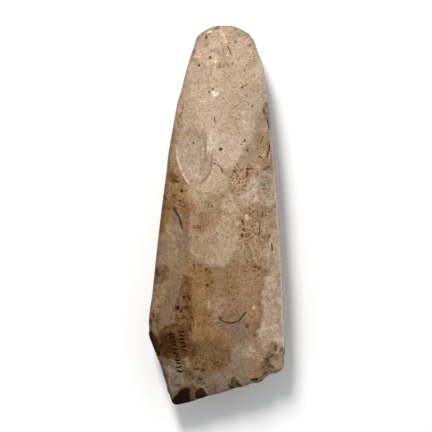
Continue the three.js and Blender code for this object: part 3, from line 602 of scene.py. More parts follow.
# [relief] -------------------------------------------------------------------------------
# Scars shared with the solid: x, y, half breadth, half length, turn in degrees, depth.
SCARS = {
    1: [(-12.4, 29.5, 7.6, 14.6, -4, 0.55), (-6.6, 33, 4.6, 13.2, -2, 0.3), (8, 44, 9, 20, -14, 0.5), (21.5, 36, 5.6, 20, 6, 0.45),
        (-0.9, 89.2, 5.2, 5.8, -12, 0.8), (-8.8, 80, 6.4, 8.5, -14, 0.6), (11.5, 83, 7.5, 10, 20, 0.5), (-10.5, 62, 8.4, 12, -10, 0.45),
        (14.5, 68, 8.5, 12, 12, 0.35), (-20.6, -3.6, 3.4, 9.2, -12, 0.45), (-4.5, -6.5, 7.4, 8.6, -30, 0.3), (2.5, -17, 11.5, 10, -30, 0.3),
        (9.5, -57.8, 10.5, 8.4, -8, 0.45), (-27.4, -29, 4.6, 6.6, -18, 0.35), (29.8, -74, 6.2, 4.6, 28, 0.9), (24.6, -79, 5.4, 3.8, 24, 0.9),
        (8.8, -86.6, 3.7, 4.2, 0, 0.75), (19.6, -83.2, 3.6, 2.6, 18, 0.55), (-17.5, -92.2, 5, 5.4, 20, 0.4), (-7.4, -90.4, 3.7, 3.7, 0, 0.35),
        (-34.2, -64.6, 4.6, 8.6, 16, 2.4)],
    -1: [(8.5, 62, 10.5, 18, -12, 0.55), (-8.5, 47, 8.5, 15, 10, 0.5), (3, 86, 7.5, 8, 0, 0.9), (21.5, 4, 7, 17, -5, 0.55),
         (-21, -14, 7.5, 13, 12, 0.55), (16, -52, 11, 9, 20, 0.45), (-15, -66, 9, 8, -12, 0.4), (14, -84.5, 5.6, 3.6, 18, 0.6),
         (-10.5, -91.2, 4.4, 3.4, 18, 0.5)],
}


def bowls(face, x, y):
    cut = np.zeros_like(x)
    for sx, sy, a, b, turn, depth in SCARS[face]:
        c, w = math.cos(math.radians(turn)), math.sin(math.radians(turn))
        p, q = ((x - sx) * c + (y - sy) * w) / a, ((y - sy) * c - (x - sx) * w) / b
        cut = np.maximum(cut, depth * (1 - p * p - q * q))
    return cut


def fine_upper(x, y):
    """Depth cut off the upper face beyond the shared scars; negative stands proud."""
    u, v = to_grid(x, y)
    u, v = u + 0.8 * fbm(x, y, 5, 2, 71), v + 0.8 * fbm(x, y, 5, 2, 73)
    cut = 0.07 * fbm(x, y, 17, 2, 61) + 0.02 * fbm(x, y, 3.2, 2, 63)

    def hollow(shape, depth, wall):
        return depth * smoothstep(0, wall, shape(u, v) / 2)

    def crease(path, depth):
        return depth * smoothstep(0, 0.5, path(u, v) / 2)

    def step(points, drop, side, run):
        """A step that falls on one side of a path and climbs back over a run of so many mm."""
        pts = np.array(points, float)
        best, sign = np.full(u.shape, 1e9), np.ones(u.shape)
        for (x0, y0), (x1, y1) in zip(pts[:-1], pts[1:]):
            ex, ey = x1 - x0, y1 - y0
            t = np.clip(((u - x0) * ex + (v - y0) * ey) / (ex * ex + ey * ey), 0, 1)
            d = np.hypot(u - x0 - t * ex, v - y0 - t * ey)
            s = np.sign((u - x0) * ey - (v - y0) * ex)
            sign = np.where(d < best, s, sign)
            best = np.minimum(best, d)
        length = np.hypot(*(pts[-1] - pts[0]))
        along = ((u - pts[0, 0]) * (pts[-1, 0] - pts[0, 0]) + (v - pts[0, 1]) * (pts[-1, 1] - pts[0, 1])) / length ** 2
        fade = smoothstep(-0.08, 0.12, along) * (1 - smoothstep(0.88, 1.08, along))
        d = best / 2
        return drop * fade * np.where(sign * side > 0, smoothstep(0, 0.45, d) * (1 - smoothstep(0.45, run, d)), 0.0)

    cut += hollow(poly((209, 37), (213, 30.5), (219, 28), (224, 33), (225.5, 37), (226.5, 41), (224, 46), (216, 48.5), (210, 46), (207.5, 41)), 0.2, 1.1)
    cut -= hollow(poly((211, 57), (216, 55), (219.5, 58), (218, 62), (215.5, 65), (214.5, 70), (217, 74), (219, 79), (214, 82), (211.5, 79), (213, 71), (212, 66), (210, 61)), 0.13, 1.1)
    cut += crease(trail(2.2, (212.6, 65.5), (210.9, 70), (210.6, 75.5)), 0.1)
    cut += hollow(poly((177, 150), (176.6, 157), (178.4, 164), (181.5, 172), (185, 179), (189, 185), (194, 184.5), (199, 182.5), (204, 178.5), (208, 170), (209, 160), (207, 148), (206, 138), (202, 131), (195, 128), (187, 131), (181, 138), (178, 144)), 0.2, 1.5)
    cut += step([(206, 132), (206.5, 150), (206, 160), (204, 170), (200, 178)], 0.12, 1, 2.6)
    cut += step([(211, 156), (212, 165), (211, 173), (207, 178), (202, 181.5)], 0.1, 1, 2.0)
    cut += hollow(poly((210, 137), (222, 131), (236, 133), (247, 138), (245, 146), (240, 156), (235, 162), (231, 167), (224, 168), (215, 163), (211, 156)), 0.12, 2.2)
    cut += hollow(poly((242, 149), (249, 143), (256, 147), (258, 156), (252, 164), (243, 161.5), (239.5, 158)), 0.1, 1.2)
    cut += hollow(poly((171.5, 210.5), (175, 211), (178.5, 216), (180.5, 224), (180, 232), (174, 235), (169, 231), (168.6, 220)), 0.3, 1.4)
    cut += hollow(poly((154.5, 273), (157, 267), (163, 264.5), (168, 266), (170, 271), (167.5, 278), (161, 284), (155, 286)), 0.22, 1.6)
    hinge = [(218, 316.5), (220, 318), (223, 321), (227, 322.4), (233, 322.4), (238, 321), (241, 318), (243, 315), (246, 312)]
    cut += crease(trail(1.9, *hinge[1:-1]), 0.22) + step(hinge, 0.16, -1, 5.0)
    cut += hollow(poly((229.5, 386), (231.5, 378.5), (234, 376), (237.5, 380), (241, 385), (241.5, 388), (236, 392), (230, 392)), 0.35, 1.4)
    cut += hollow(poly((269, 358), (275, 354), (283, 352), (288, 367), (277, 372), (271.5, 368.5), (270, 363)), 0.25, 1.2)
    cut += hollow(poly((261.5, 372), (265, 364.5), (270, 362.5), (274.5, 367), (274, 373), (266, 380), (261, 380)), 0.4, 1.5)
    cut -= hollow(spot(270, 369.5, 3.2, 2.2), 0.22, 1.0)
    cut += crease(trail(1.8, (264, 358.5), (268, 356.5), (275, 353.5)), 0.14)
    cut += hollow(poly((251, 380), (255, 377), (258.5, 377.5), (258, 384), (253, 386)), 0.3, 0.9)
    cut += hollow(poly((150, 331), (154, 334), (158.5, 340), (159.5, 350), (160.5, 357), (152, 358), (146, 340)), 0.25, 1.0)
    cut += hollow(spot(220.5, 149.8, 1.7, 1.7), 0.3, 0.7) + hollow(spot(210, 57.5, 1.4, 1.2), 0.15, 0.5) + hollow(spot(193, 143, 1.4, 1.4), 0.12, 0.5)
    cut -= hollow(poly((206, 130), (211, 128), (216, 134), (215, 150), (212, 160), (208.5, 160), (207.5, 146)), 0.1, 1.8)
    # long shallow grinding flats, faint where the stone was worked lengthwise
    cut += 0.035 * np.sin((x * 0.93 + y * 0.12) / 1.9 + 2.2 * fbm(x, y, 24, 2, 81)) * smoothstep(-0.1, 0.5, fbm(x, y, 30, 2, 83))
    # small bruises and nicks close to the cutting edge
    to_edge = y - station_y(np.full_like(x, EDGE_Y0), x)
    near = np.exp(-((to_edge / 3.4) ** 2))
    cut += near * (0.16 * np.maximum(0, noise(x / 1.7, y / 3.1, 91)) + 0.1 * np.maximum(0, noise(x / 0.8, y / 1.5, 93)))
    return cut


def fine_lower(x, y):
    """The same for the under face, which is plainer."""
    cut = 0.09 * fbm(x, y, 19, 2, 161) + 0.02 * fbm(x, y, 3.2, 2, 163)

    def hollow(cx, cy, a, b, turn, depth, wall):
        c, s = math.cos(math.radians(turn)), math.sin(math.radians(turn))
        xx, yy = x + 0.7 * fbm(x, y, 6, 2, 171), y + 0.7 * fbm(x, y, 6, 2, 173)
        p, q = (xx - cx) * c + (yy - cy) * s, (yy - cy) * c - (xx - cx) * s
        r = np.sqrt((p / a) ** 2 + (q / b) ** 2)
        return depth * smoothstep(0, wall, (1 - r) * min(a, b))

    cut += hollow(8.5, 62, 8.5, 14, -12, 0.15, 1.6) + hollow(-9, 47, 6.5, 11, 10, 0.14, 1.5) + hollow(3, 87, 5.5, 5.5, 0, 0.2, 1.2)
    cut += hollow(22, 4, 5, 12, -5, 0.16, 1.5) + hollow(-21, -14, 5.5, 9, 12, 0.18, 1.5) + hollow(16, -53, 8, 6, 20, 0.14, 1.6)
    cut += hollow(14, -86, 4.6, 2.8, 18, 0.3, 1.0) + hollow(-11, -92, 3.4, 2.8, 18, 0.25, 1.0) + hollow(-30, -64, 4, 7, 16, 0.5, 1.6)
    cut += 0.035 * np.sin((x * 0.95 - y * 0.1) / 2.1 + 2.0 * fbm(x, y, 24, 2, 181)) * smoothstep(-0.1, 0.5, fbm(x, y, 30, 2, 183))
    to_edge = y - station_y(np.full_like(x, EDGE_Y0), x)
    near = np.exp(-((to_edge / 3.0) ** 2))
    cut += near * (0.16 * np.maximum(0, noise(x / 1.9, y / 3.0, 191)) + 0.1 * np.maximum(0, noise(x / 0.9, y / 1.6, 193)))
    return cut


def relief(face, x, y):
    fine = fine_upper(x, y) if face > 0 else fine_lower(x, y)
    return bowls(face, x, y) + fine
# [/relief] ------------------------------------------------------------------------------


# [mesh] ---------------------------------------------------------------------------------
STATIONS, ACROSS_TOP, ACROSS_LOW, LEFT_ROWS, RIGHT_ROWS = 416, 164, 46, 8, 4
ROUNDING = 0.42  # how far the arris beside each side facet is softened


def build_rings():
    """Points of every cross-section in ring order: upper face, right side, under face, left side."""
    s = np.linspace(0, 1, STATIONS)
    s0 = 0.35 / (84 - 0.65)
    first = BUTT_Y + (EDGE_Y0 - BUTT_Y) * (0.42 * s0 + 0.58 * (0.5 - 0.5 * math.cos(math.pi * s0)))
    yc = first + (EDGE_Y0 - first) * (0.75 * s + 0.25 * (0.5 - 0.5 * np.cos(np.pi * s)))
    sec = Section(yc)
    width = (sec.right - sec.left)[:, None]
    inset = np.minimum(ROUNDING * np.minimum(1, sec.side[:, None] / 2.0), 0.08 * width)

    def across(count):
        a = np.linspace(0, 1, count)
        a = 0.6 * a + 0.4 * (0.5 - 0.5 * np.cos(np.pi * a))
        return sec.left[:, None] + inset + (width - 2 * inset) * a

    def face(which, x):
        y, top, low = sec.heights(x, relief)
        return np.stack([x, y, top if which > 0 else np.maximum(0.0, low)], -1)

    top, low = face(1, across(ACROSS_TOP)), face(-1, across(ACROSS_LOW))

    def wall(sign, rows):
        a, b = (top[:, -1], low[:, -1]) if sign > 0 else (top[:, 0], low[:, 0])
        q = (np.arange(rows) + 1) / (rows + 1)
        q = q[None, :, None]
        p = a[:, None] * (1 - q) + b[:, None] * q
        bulge = inset * (1 - np.abs(2 * q[..., 0] - 1) ** 3)
        y, z = p[..., 1], p[..., 2]
        rough = 0.05 * np.maximum(0, noise(y / 2.6, z / 1.6 + sign * 7, 301)) + 0.04 * np.maximum(0, noise(y / 1.1, z / 0.9, 303))
        if sign < 0:  # the old break at the corner is a ripply fracture
            broken = smoothstep(-60, -65, y) * smoothstep(0.0, 0.25, q[..., 0] * (1 - q[..., 0]) * 4)
            rough += broken * (0.34 * np.maximum(0, noise(y / 6.5, z / 3.4, 305)) + 0.16 * np.maximum(0, np.sin(z * 2.1 + y * 0.35 + noise(y / 5, z / 3, 307))))
        p[..., 0] += sign * (bulge - rough * np.minimum(1, sec.side[:, None] / 1.5))
        return p

    right, left = wall(1, RIGHT_ROWS), wall(-1, LEFT_ROWS)
    ring = np.concatenate([top, right, low[:, ::-1], left[:, ::-1]], 1)
    ring[..., 0] += CENTRING[0]
    ring[..., 1] += CENTRING[1]
    return yc, ring


def zip_cap(loop, x):
    """Triangles across the end of the body: two chains from the left side to the right, joined in order of x."""
    n = len(loop)
    start = n - LEFT_ROWS // 2
    end = ACROSS_TOP + RIGHT_ROWS // 2
    over = [(start + k) % n for k in range(((end - start) % n) + 1)]
    under = [(start - k) % n for k in range(((start - end) % n) + 1)]
    i, j, out = 0, 0, []
    while i < len(over) - 1 or j < len(under) - 1:
        go = j == len(under) - 1 or (i < len(over) - 1 and x[over[i + 1]] <= x[under[j + 1]])
        if go:
            out.append((over[i], over[i + 1], under[j]))
            i += 1
        else:
            out.append((over[i], under[j + 1], under[j]))
            j += 1
    return [(loop[a], loop[b], loop[c]) for a, b, c in out if len({a, b, c}) == 3]


def build_mesh():
    yc, ring = build_rings()
    ns, n = ring.shape[:2]
    lo, hi = np.array(cad_box[0]) * 1000, np.array(cad_box[1]) * 1000
    ring = np.clip(ring, lo, hi)
    points = ring.reshape(-1, 3)

    i, m = np.meshgrid(np.arange(ns - 1), np.arange(n), indexing="ij")
    a, b = i * n + m, i * n + (m + 1) % n
    c, d = a + n, b + n
    # each quad is cut along its shorter diagonal
    p = points
    short = np.linalg.norm(p[a] - p[d], axis=-1) <= np.linalg.norm(p[b] - p[c], axis=-1)
    t1 = np.where(short[..., None], np.stack([a, c, d], -1), np.stack([a, c, b], -1))
    t2 = np.where(short[..., None], np.stack([a, d, b], -1), np.stack([b, c, d], -1))
    body = np.stack([t1, t2], 2).reshape(-1, 3)
    quad_of = np.repeat((i * n + m).reshape(-1), 2)
    first = zip_cap(np.arange(n), ring[0, :, 0])
    last = zip_cap(np.arange(n) + (ns - 1) * n, ring[-1, :, 0])
    last = [(q, r, s) for q, s, r in last]
    tris = np.concatenate([body, first, last]).astype(np.int64)

    # unwrapping: each island is as wide as its arc and as long as the body
    step = np.linalg.norm(np.diff(np.concatenate([ring, ring[:, :1]], 1), axis=1), axis=-1)
    arc = np.concatenate([np.zeros((ns, 1)), np.cumsum(step, 1)], 1)
    spine = ring[:, ACROSS_TOP // 2]
    along = np.concatenate([[0], np.cumsum(np.linalg.norm(np.diff(spine, axis=0), axis=1))])
    edges = [0, ACROSS_TOP - 1, ACROSS_TOP + RIGHT_ROWS, ACROSS_TOP + RIGHT_ROWS + ACROSS_LOW - 1, n]
    scale = 0.97 / max(along[-1], 2 * (arc[:, edges[1]].max() + 12) + 16)
    offset, left_at = [], 1.5
    for e0, e1 in zip(edges[:-1], edges[1:]):
        wide = (arc[:, e1] - arc[:, e0]).max()
        offset.append(left_at + wide / 2)
        left_at += wide + 1.5
    scale = min(scale, 0.985 / left_at)
    corner_i, corner_m = tris // n, tris % n
    uv = np.zeros((len(tris), 3, 2))
    nb = len(body)
    qm = quad_of % n
    for k, (e0, e1) in enumerate(zip(edges[:-1], edges[1:])):
        rows = np.where((qm >= e0) & (qm < e1))[0]
        ci, cm = corner_i[rows], corner_m[rows].copy()
        if k == 3:
            cm = np.where(cm == 0, n, cm)
        middle = (arc[ci, e0] + arc[ci, e1]) / 2
        uv[rows, :, 0] = (offset[k] + arc[ci, cm] - middle) * scale
        uv[rows, :, 1] = 0.99 - along[ci] * scale
    for rows, base in ((np.arange(nb, nb + len(first)), 0.93), (np.arange(nb + len(first), len(tris)), 0.9)):
        q = points[tris[rows]]
        uv[rows, :, 0] = (left_at + 2 + (q[..., 0] + 40) * 0.2) * scale
        uv[rows, :, 1] = base + (q[..., 2] - 14) * scale

    # outward winding
    q = points[tris]
    volume = np.einsum("ij,ij->i", q[:, 0], np.cross(q[:, 1], q[:, 2])).sum() / 6
    if volume < 0:
        tris, uv = tris[:, ::-1], uv[:, ::-1]

    mesh = bpy.data.meshes.new("axe_head_visual")
    mesh.vertices.add(len(points))
    mesh.vertices.foreach_set("co", (points / 1000).astype(np.float32).ravel())
    mesh.loops.add(len(tris) * 3)
    mesh.loops.foreach_set("vertex_index", tris.astype(np.int32).ravel())
    mesh.polygons.add(len(tris))
    mesh.polygons.foreach_set("loop_start", np.arange(0, len(tris) * 3, 3, dtype=np.int32))
    layer = mesh.uv_layers.new(name="OFBake")
    layer.data.foreach_set("uv", uv.astype(np.float32).ravel())
    mesh.update(calc_edges=True)
    mesh.validate()
    mesh.polygons.foreach_set("use_smooth", np.ones(len(mesh.polygons), bool))
    mesh.set_sharp_from_angle(angle=math.radians(55))
    mesh.update()
    return mesh, ring


def rim_distance(x, y):
    """Distance from the outline over one face, in mm; x and y are stations by points across."""
    side = np.minimum(x - x.min(1, keepdims=True), x.max(1, keepdims=True) - x)
    rise = np.clip(np.abs(x - BUTT_CENTRE_X) / BUTT_HALF, 0, 1)
    up = np.maximum(0.01, SHOULDER_Y + (BUTT_Y - SHOULDER_Y) * (1 - rise ** 2) ** (1 / ARCH_POWER) - y)
    d = side * up / np.hypot(side + 1e-6, up)
    return np.minimum(d, 0.95 * (y - station_y(np.full_like(x, EDGE_Y0), x)))


def rim_tone_and_reflection(x, y):
    """How much the bruised rim is darkened, and how much a painted reflection of the floor lightens its right side."""
    u, v = to_grid(x, y)
    middle = (x.min(1, keepdims=True) + x.max(1, keepdims=True)) / 2
    near = smoothstep(2.1, 0.2, rim_distance(x, y) + 0.25 * fbm(x, y, 5, 2, 411))
    left = np.interp(v, (20, 45, 90, 110, 140, 200, 300, 330, 345, 358, 375, 400), (0.42, 0.36, 0.2, 0.2, 0.34, 0.4, 0.4, 0.3, 0.0, 0.2, 0.42, 0.42))
    right = np.interp(v, (20, 40, 62, 100, 112, 130, 350, 362), (0.42, 0.3, 0.0, 0.0, 0.1, 0.0, 0.0, 0.32))
    to_edge = y - station_y(np.full_like(x, EDGE_Y0), x)
    dark = near * np.where(to_edge < 4, 0.32, np.where(x < middle, left, right))
    # painted reflection: the right rim is lightened as if by light thrown back from the floor
    floor_reflection = np.interp(v, (50, 66, 98, 106, 122, 134, 345, 352), (0.0, 0.22, 0.22, 0.1, 0.1, 0.26, 0.26, 0.0))
    pale = smoothstep(1.3, 0.3, rim_distance(x, y)) * np.where(x > middle, floor_reflection, 0.0)
    return dark, pale


def paint(mesh, ring):
    """Stores how much of each pigment lies at each point, for the material to mix."""
    ns, n = ring.shape[:2]
    x, y = ring[..., 0] - CENTRING[0], ring[..., 1] - CENTRING[1]
    top = slice(0, ACROSS_TOP)
    low = slice(ACROSS_TOP + RIGHT_ROWS, ACROSS_TOP + RIGHT_ROWS + ACROSS_LOW)
    parts = np.zeros((ns, n, len(NAMES)))
    speck = np.zeros((ns, n))
    upper = np.zeros((ns, n))
    u, v = to_grid(x[:, top].ravel(), y[:, top].ravel())
    c = paint_upper(u, v)
    parts[:, top] = c.parts.T.reshape(ns, -1, len(NAMES))
    speck[:, top] = c.speck.reshape(ns, -1)
    upper[:, top] = 1
    c = paint_lower(x[:, low].ravel(), y[:, low].ravel())
    parts[:, low] = c.parts.T.reshape(ns, -1, len(NAMES))
    speck[:, low] = c.speck.reshape(ns, -1)
    # the sides run from one face's tone to the other's
    for rows, a, b in ((range(ACROSS_TOP, ACROSS_TOP + RIGHT_ROWS), ACROSS_TOP - 1, ACROSS_TOP + RIGHT_ROWS),
                       (range(ACROSS_TOP + RIGHT_ROWS + ACROSS_LOW, n), ACROSS_TOP + RIGHT_ROWS + ACROSS_LOW - 1, n)):
        rows = list(rows)
        for k, m in enumerate(rows):
            q = (k + 1) / (len(rows) + 1)
            parts[:, m] = parts[:, a] * (1 - q) + parts[:, b % n] * q
            speck[:, m] = speck[:, a] * (1 - q) + speck[:, b % n] * q
            upper[:, m] = upper[:, a] * (1 - q) + upper[:, b % n] * q
    # a greyer, slightly bruised tone on the side facets and around the rim
    side = np.zeros((ns, n))
    side[:, ACROSS_TOP:ACROSS_TOP + RIGHT_ROWS] = 1
    side[:, ACROSS_TOP + RIGHT_ROWS + ACROSS_LOW:] = 1
    side[:, low] = 1 - smoothstep(0.2, 1.3, rim_distance(x[:, low], y[:, low]) + 0.5 * fbm(x[:, low], y[:, low], 4, 2, 401))
    side *= np.clip(0.55 + 0.6 * fbm(x + 3 * ring[..., 2], y, 9, 3, 403), 0, 1) * smoothstep(-85, -76, y)
    side *= 1 - smoothstep(-56, -60, y) * (x < 0)  # the old break keeps its own dark colour
    rim = np.zeros((ns, n, 4))
    rim[:, top, 0], rim[:, top, 1] = rim_tone_and_reflection(x[:, top], y[:, top])
    rim[:, low, 0] = 0.3 * smoothstep(1.9, 0.2, rim_distance(x[:, low], y[:, low]))
    for rows, a, b in ((range(ACROSS_TOP, ACROSS_TOP + RIGHT_ROWS), ACROSS_TOP - 1, ACROSS_TOP + RIGHT_ROWS),
                       (range(ACROSS_TOP + RIGHT_ROWS + ACROSS_LOW, n), ACROSS_TOP + RIGHT_ROWS + ACROSS_LOW - 1, n)):
        for k, m in enumerate(rows):
            q = (k + 1) / (len(rows) + 1)
            rim[:, m, 0] = 0.5 * (rim[:, a, 0] * (1 - q) + rim[:, b % n, 0] * q)
    target = np.zeros(len(NAMES))
    for name, w in (("grey", 0.55), ("slate", 0.2), ("tan", 0.25)):
        target[NAMES.index(name)] = w
    k = (0.62 * side)[..., None]
    parts = parts * (1 - k) + target * k
    grain = np.clip(0.35 + 0.5 * fbm(x, y, 12, 2, 405), 0, 1)
    # vertical streaks in the grey patch near the broken corner
    su, sv = to_grid(x, y)
    streak = smoothstep(-2, 3, poly((158, 288), (176, 286), (176, 330), (158, 330))(su.ravel(), sv.ravel()).reshape(su.shape)) * upper
    extra = np.stack([upper, grain, streak, side], -1)
    channels = {"coat_e": rim, "coat_a": parts[..., 0:4], "coat_b": parts[..., 4:8],
                "coat_c": np.concatenate([parts[..., 8:11], speck[..., None]], -1), "coat_d": extra}
    for name, values in channels.items():
        attribute = mesh.attributes.new(name, "FLOAT_COLOR", "POINT")
        attribute.data.foreach_set("color", np.ascontiguousarray(values, np.float32).ravel())


def apart(groups, points, gap):
    """The first group whose members all keep this distance from the points; a new one if there is none."""
    for k, group in enumerate(groups):
        if all(np.hypot(points[:, None, 0] - q[None, :, 0], points[:, None, 1] - q[None, :, 1]).min() > gap for q in group):
            group.append(points)
            return k
    groups.append([points])
    return len(groups) - 1


def mark_paths(mesh, x, y, prefix, paths, reach=1.0):
    """Fine lines as fields on the surface: offset over half breadth, distance inside the end, strength."""
    groups, fields = [], []
    for points, breadth, strength in paths:
        px, py = to_mm([p[0] for p in points], [p[1] for p in points])
        pts = np.stack([px, py], 1)
        dense = np.concatenate([a + (b - a) * np.linspace(0, 1, 8)[:, None] for a, b in zip(pts[:-1], pts[1:])])
        k = apart(groups, dense, 2 * reach + 0.15)
        if k == len(fields):
            field = np.zeros((x.size, 4))
            field[:, 0], field[:, 1], field[:, 3] = 9, -1, 1e9
            fields.append(field)
        field = fields[k]
        near = np.where((x > px.min() - 2.2) & (x < px.max() + 2.2) & (y > py.min() - 2.2) & (y < py.max() + 2.2))[0]
        best, offset, place = np.full(near.size, 1e9), np.zeros(near.size), np.zeros(near.size)
        run = 0.0
        for n, (a, b) in enumerate(zip(pts[:-1], pts[1:])):
            e = b - a
            length = np.hypot(*e)
            rx, ry = x[near] - a[0], y[near] - a[1]
            s = (rx * e[0] + ry * e[1]) / length
            t = (rx * e[1] - ry * e[0]) / length
            held = np.clip(s, 0, length)
            d = np.hypot(t, s - held)
            loose = np.where((s < 0) & (n == 0) | (s > length) & (n == len(pts) - 2), s, held)
            better = d < best
            outside = (loose != held)
            offset = np.where(better, np.where(outside, t, np.sign(t) * d), offset)
            place = np.where(better, run + loose, place)
            best = np.minimum(best, d)
            run += length
        half = breadth / 4
        inside = np.minimum(reach - np.abs(offset), np.minimum(place, run - place) + 0.7 * half)
        take = best < field[near, 3]
        rows = near[take]
        field[rows, 0] = np.clip(offset[take] / half, -9, 9)
        field[rows, 1] = np.clip(inside[take], -1, 2)
        field[rows, 2] = strength
        field[rows, 3] = best[take]
    for k, field in enumerate(fields):
        attribute = mesh.attributes.new(f"{prefix}_{k}", "FLOAT_VECTOR", "POINT")
        attribute.data.foreach_set("vector", np.ascontiguousarray(field[:, :3], np.float32).ravel())
    return len(fields)


def mark_dots(mesh, x, y, prefix, spots, reach=1.15):
    """Small spots as fields on the surface: offset over radius both ways, distance inside the guard ring, strength."""
    groups, fields = [], []
    for u, v, radius, strength in spots:
        px, py = (float(q) for q in to_mm(u, v))
        k = apart(groups, np.array([[px, py]]), 2 * reach + 0.1)
        if k == len(fields):
            field = np.zeros((x.size, 5))
            field[:, 0:2], field[:, 2], field[:, 4] = 9, -1, 1e9
            fields.append(field)
        field = fields[k]
        d = np.hypot(x - px, y - py)
        rows = np.where((d < 2.4) & (d < field[:, 4]))[0]
        field[rows, 0] = (x[rows] - px) / (radius / 2)
        field[rows, 1] = (y[rows] - py) / (radius / 2)
        field[rows, 2] = reach - d[rows]
        field[rows, 3] = strength
        field[rows, 4] = d[rows]
    for k, field in enumerate(fields):
        attribute = mesh.attributes.new(f"{prefix}_{k}", "FLOAT_COLOR", "POINT")
        attribute.data.foreach_set("color", np.ascontiguousarray(field[:, :4], np.float32).ravel())
    return len(fields)


def mark(mesh, ring):
    """Cracks, some of them painted shade on step walls, pits, pen strokes, and glints that are pale bruises and painted
    highlights, on the upper face only.
    """
    x, y = (ring[..., 0] - CENTRING[0]).ravel(), (ring[..., 1] - CENTRING[1]).ravel()
    below = np.zeros(ring.shape[:2], bool)
    below[:, ACROSS_TOP:] = True
    x = np.where(below.ravel(), 1e3, x)
    return (mark_paths(mesh, x, y, "crack_and_shade", CRACKS_AND_STEP_SHADE), mark_dots(mesh, x, y, "dot", DOTS),
            mark_paths(mesh, x, y, "ink", INK), mark_paths(mesh, x, y, "glint", GLINTS))
# [/mesh] --------------------------------------------------------------------------------


# [material] -----------------------------------------------------------------------------
def linear(rgb):
    c = np.array(rgb, float) / 255
    return tuple(np.where(c <= 0.04045, c / 12.92, ((c + 0.055) / 1.055) ** 2.4)) + (1.0,)


class Graph:
    """Short names for adding and wiring shader nodes."""

    def __init__(self, tree):
        self.tree = tree

    def add(self, kind, **settings):
        node = self.tree.nodes.new(kind)
        for key, value in settings.items():
            setattr(node, key, value)
        return node

    def put(self, socket, value):
        if isinstance(value, bpy.types.NodeSocket):
            self.tree.links.new(value, socket)
        elif value is not None:
            socket.default_value = value

    def math(self, op, a, b=None, c=None, clamp=False):
        node = self.add("ShaderNodeMath", operation=op, use_clamp=clamp)
        for socket, value in zip(node.inputs, (a, b, c)):
            self.put(socket, value)
        return node.outputs[0]

    def vector(self, op, a, b=None, scale=None):
        node = self.add("ShaderNodeVectorMath", operation=op)
        self.put(node.inputs[0], a)
        self.put(node.inputs[1], b)
        if scale is not None:
            self.put(node.inputs["Scale"], scale)
        return node.outputs["Value"] if op in ("DOT_PRODUCT", "LENGTH", "DISTANCE") else node.outputs["Vector"]

    def ramp(self, value, low, high, to_low=0.0, to_high=1.0, smooth=True):
        node = self.add("ShaderNodeMapRange", interpolation_type="SMOOTHSTEP" if smooth else "LINEAR")
        for socket, item in zip(node.inputs, (value, low, high, to_low, to_high)):
            self.put(socket, item)
        return node.outputs[0]

    def noise(self, where, scale, detail=3.0, rough=0.55, distort=0.0, colour=False):
        node = self.add("ShaderNodeTexNoise", noise_dimensions="3D")
        self.put(node.inputs["Vector"], where)
        for key, value in (("Scale", scale), ("Detail", detail), ("Roughness", rough), ("Distortion", distort)):
            node.inputs[key].default_value = value
        return node.outputs["Color"] if colour else node.outputs["Fac"]

    def mix(self, fac, a, b, blend="MIX"):
        node = self.add("ShaderNodeMix", data_type="RGBA", blend_type=blend)
        self.put(node.inputs["Factor"], fac)
        self.put(node.inputs[6], a)
        self.put(node.inputs[7], b)
        return node.outputs[2]

    def split(self, attribute):
        node = self.add("ShaderNodeAttribute", attribute_name=attribute, attribute_type="GEOMETRY")
        sep = self.add("ShaderNodeSeparateColor")
        self.tree.links.new(node.outputs["Color"], sep.inputs[0])
        return [sep.outputs[0], sep.outputs[1], sep.outputs[2], node.outputs["Alpha"]]
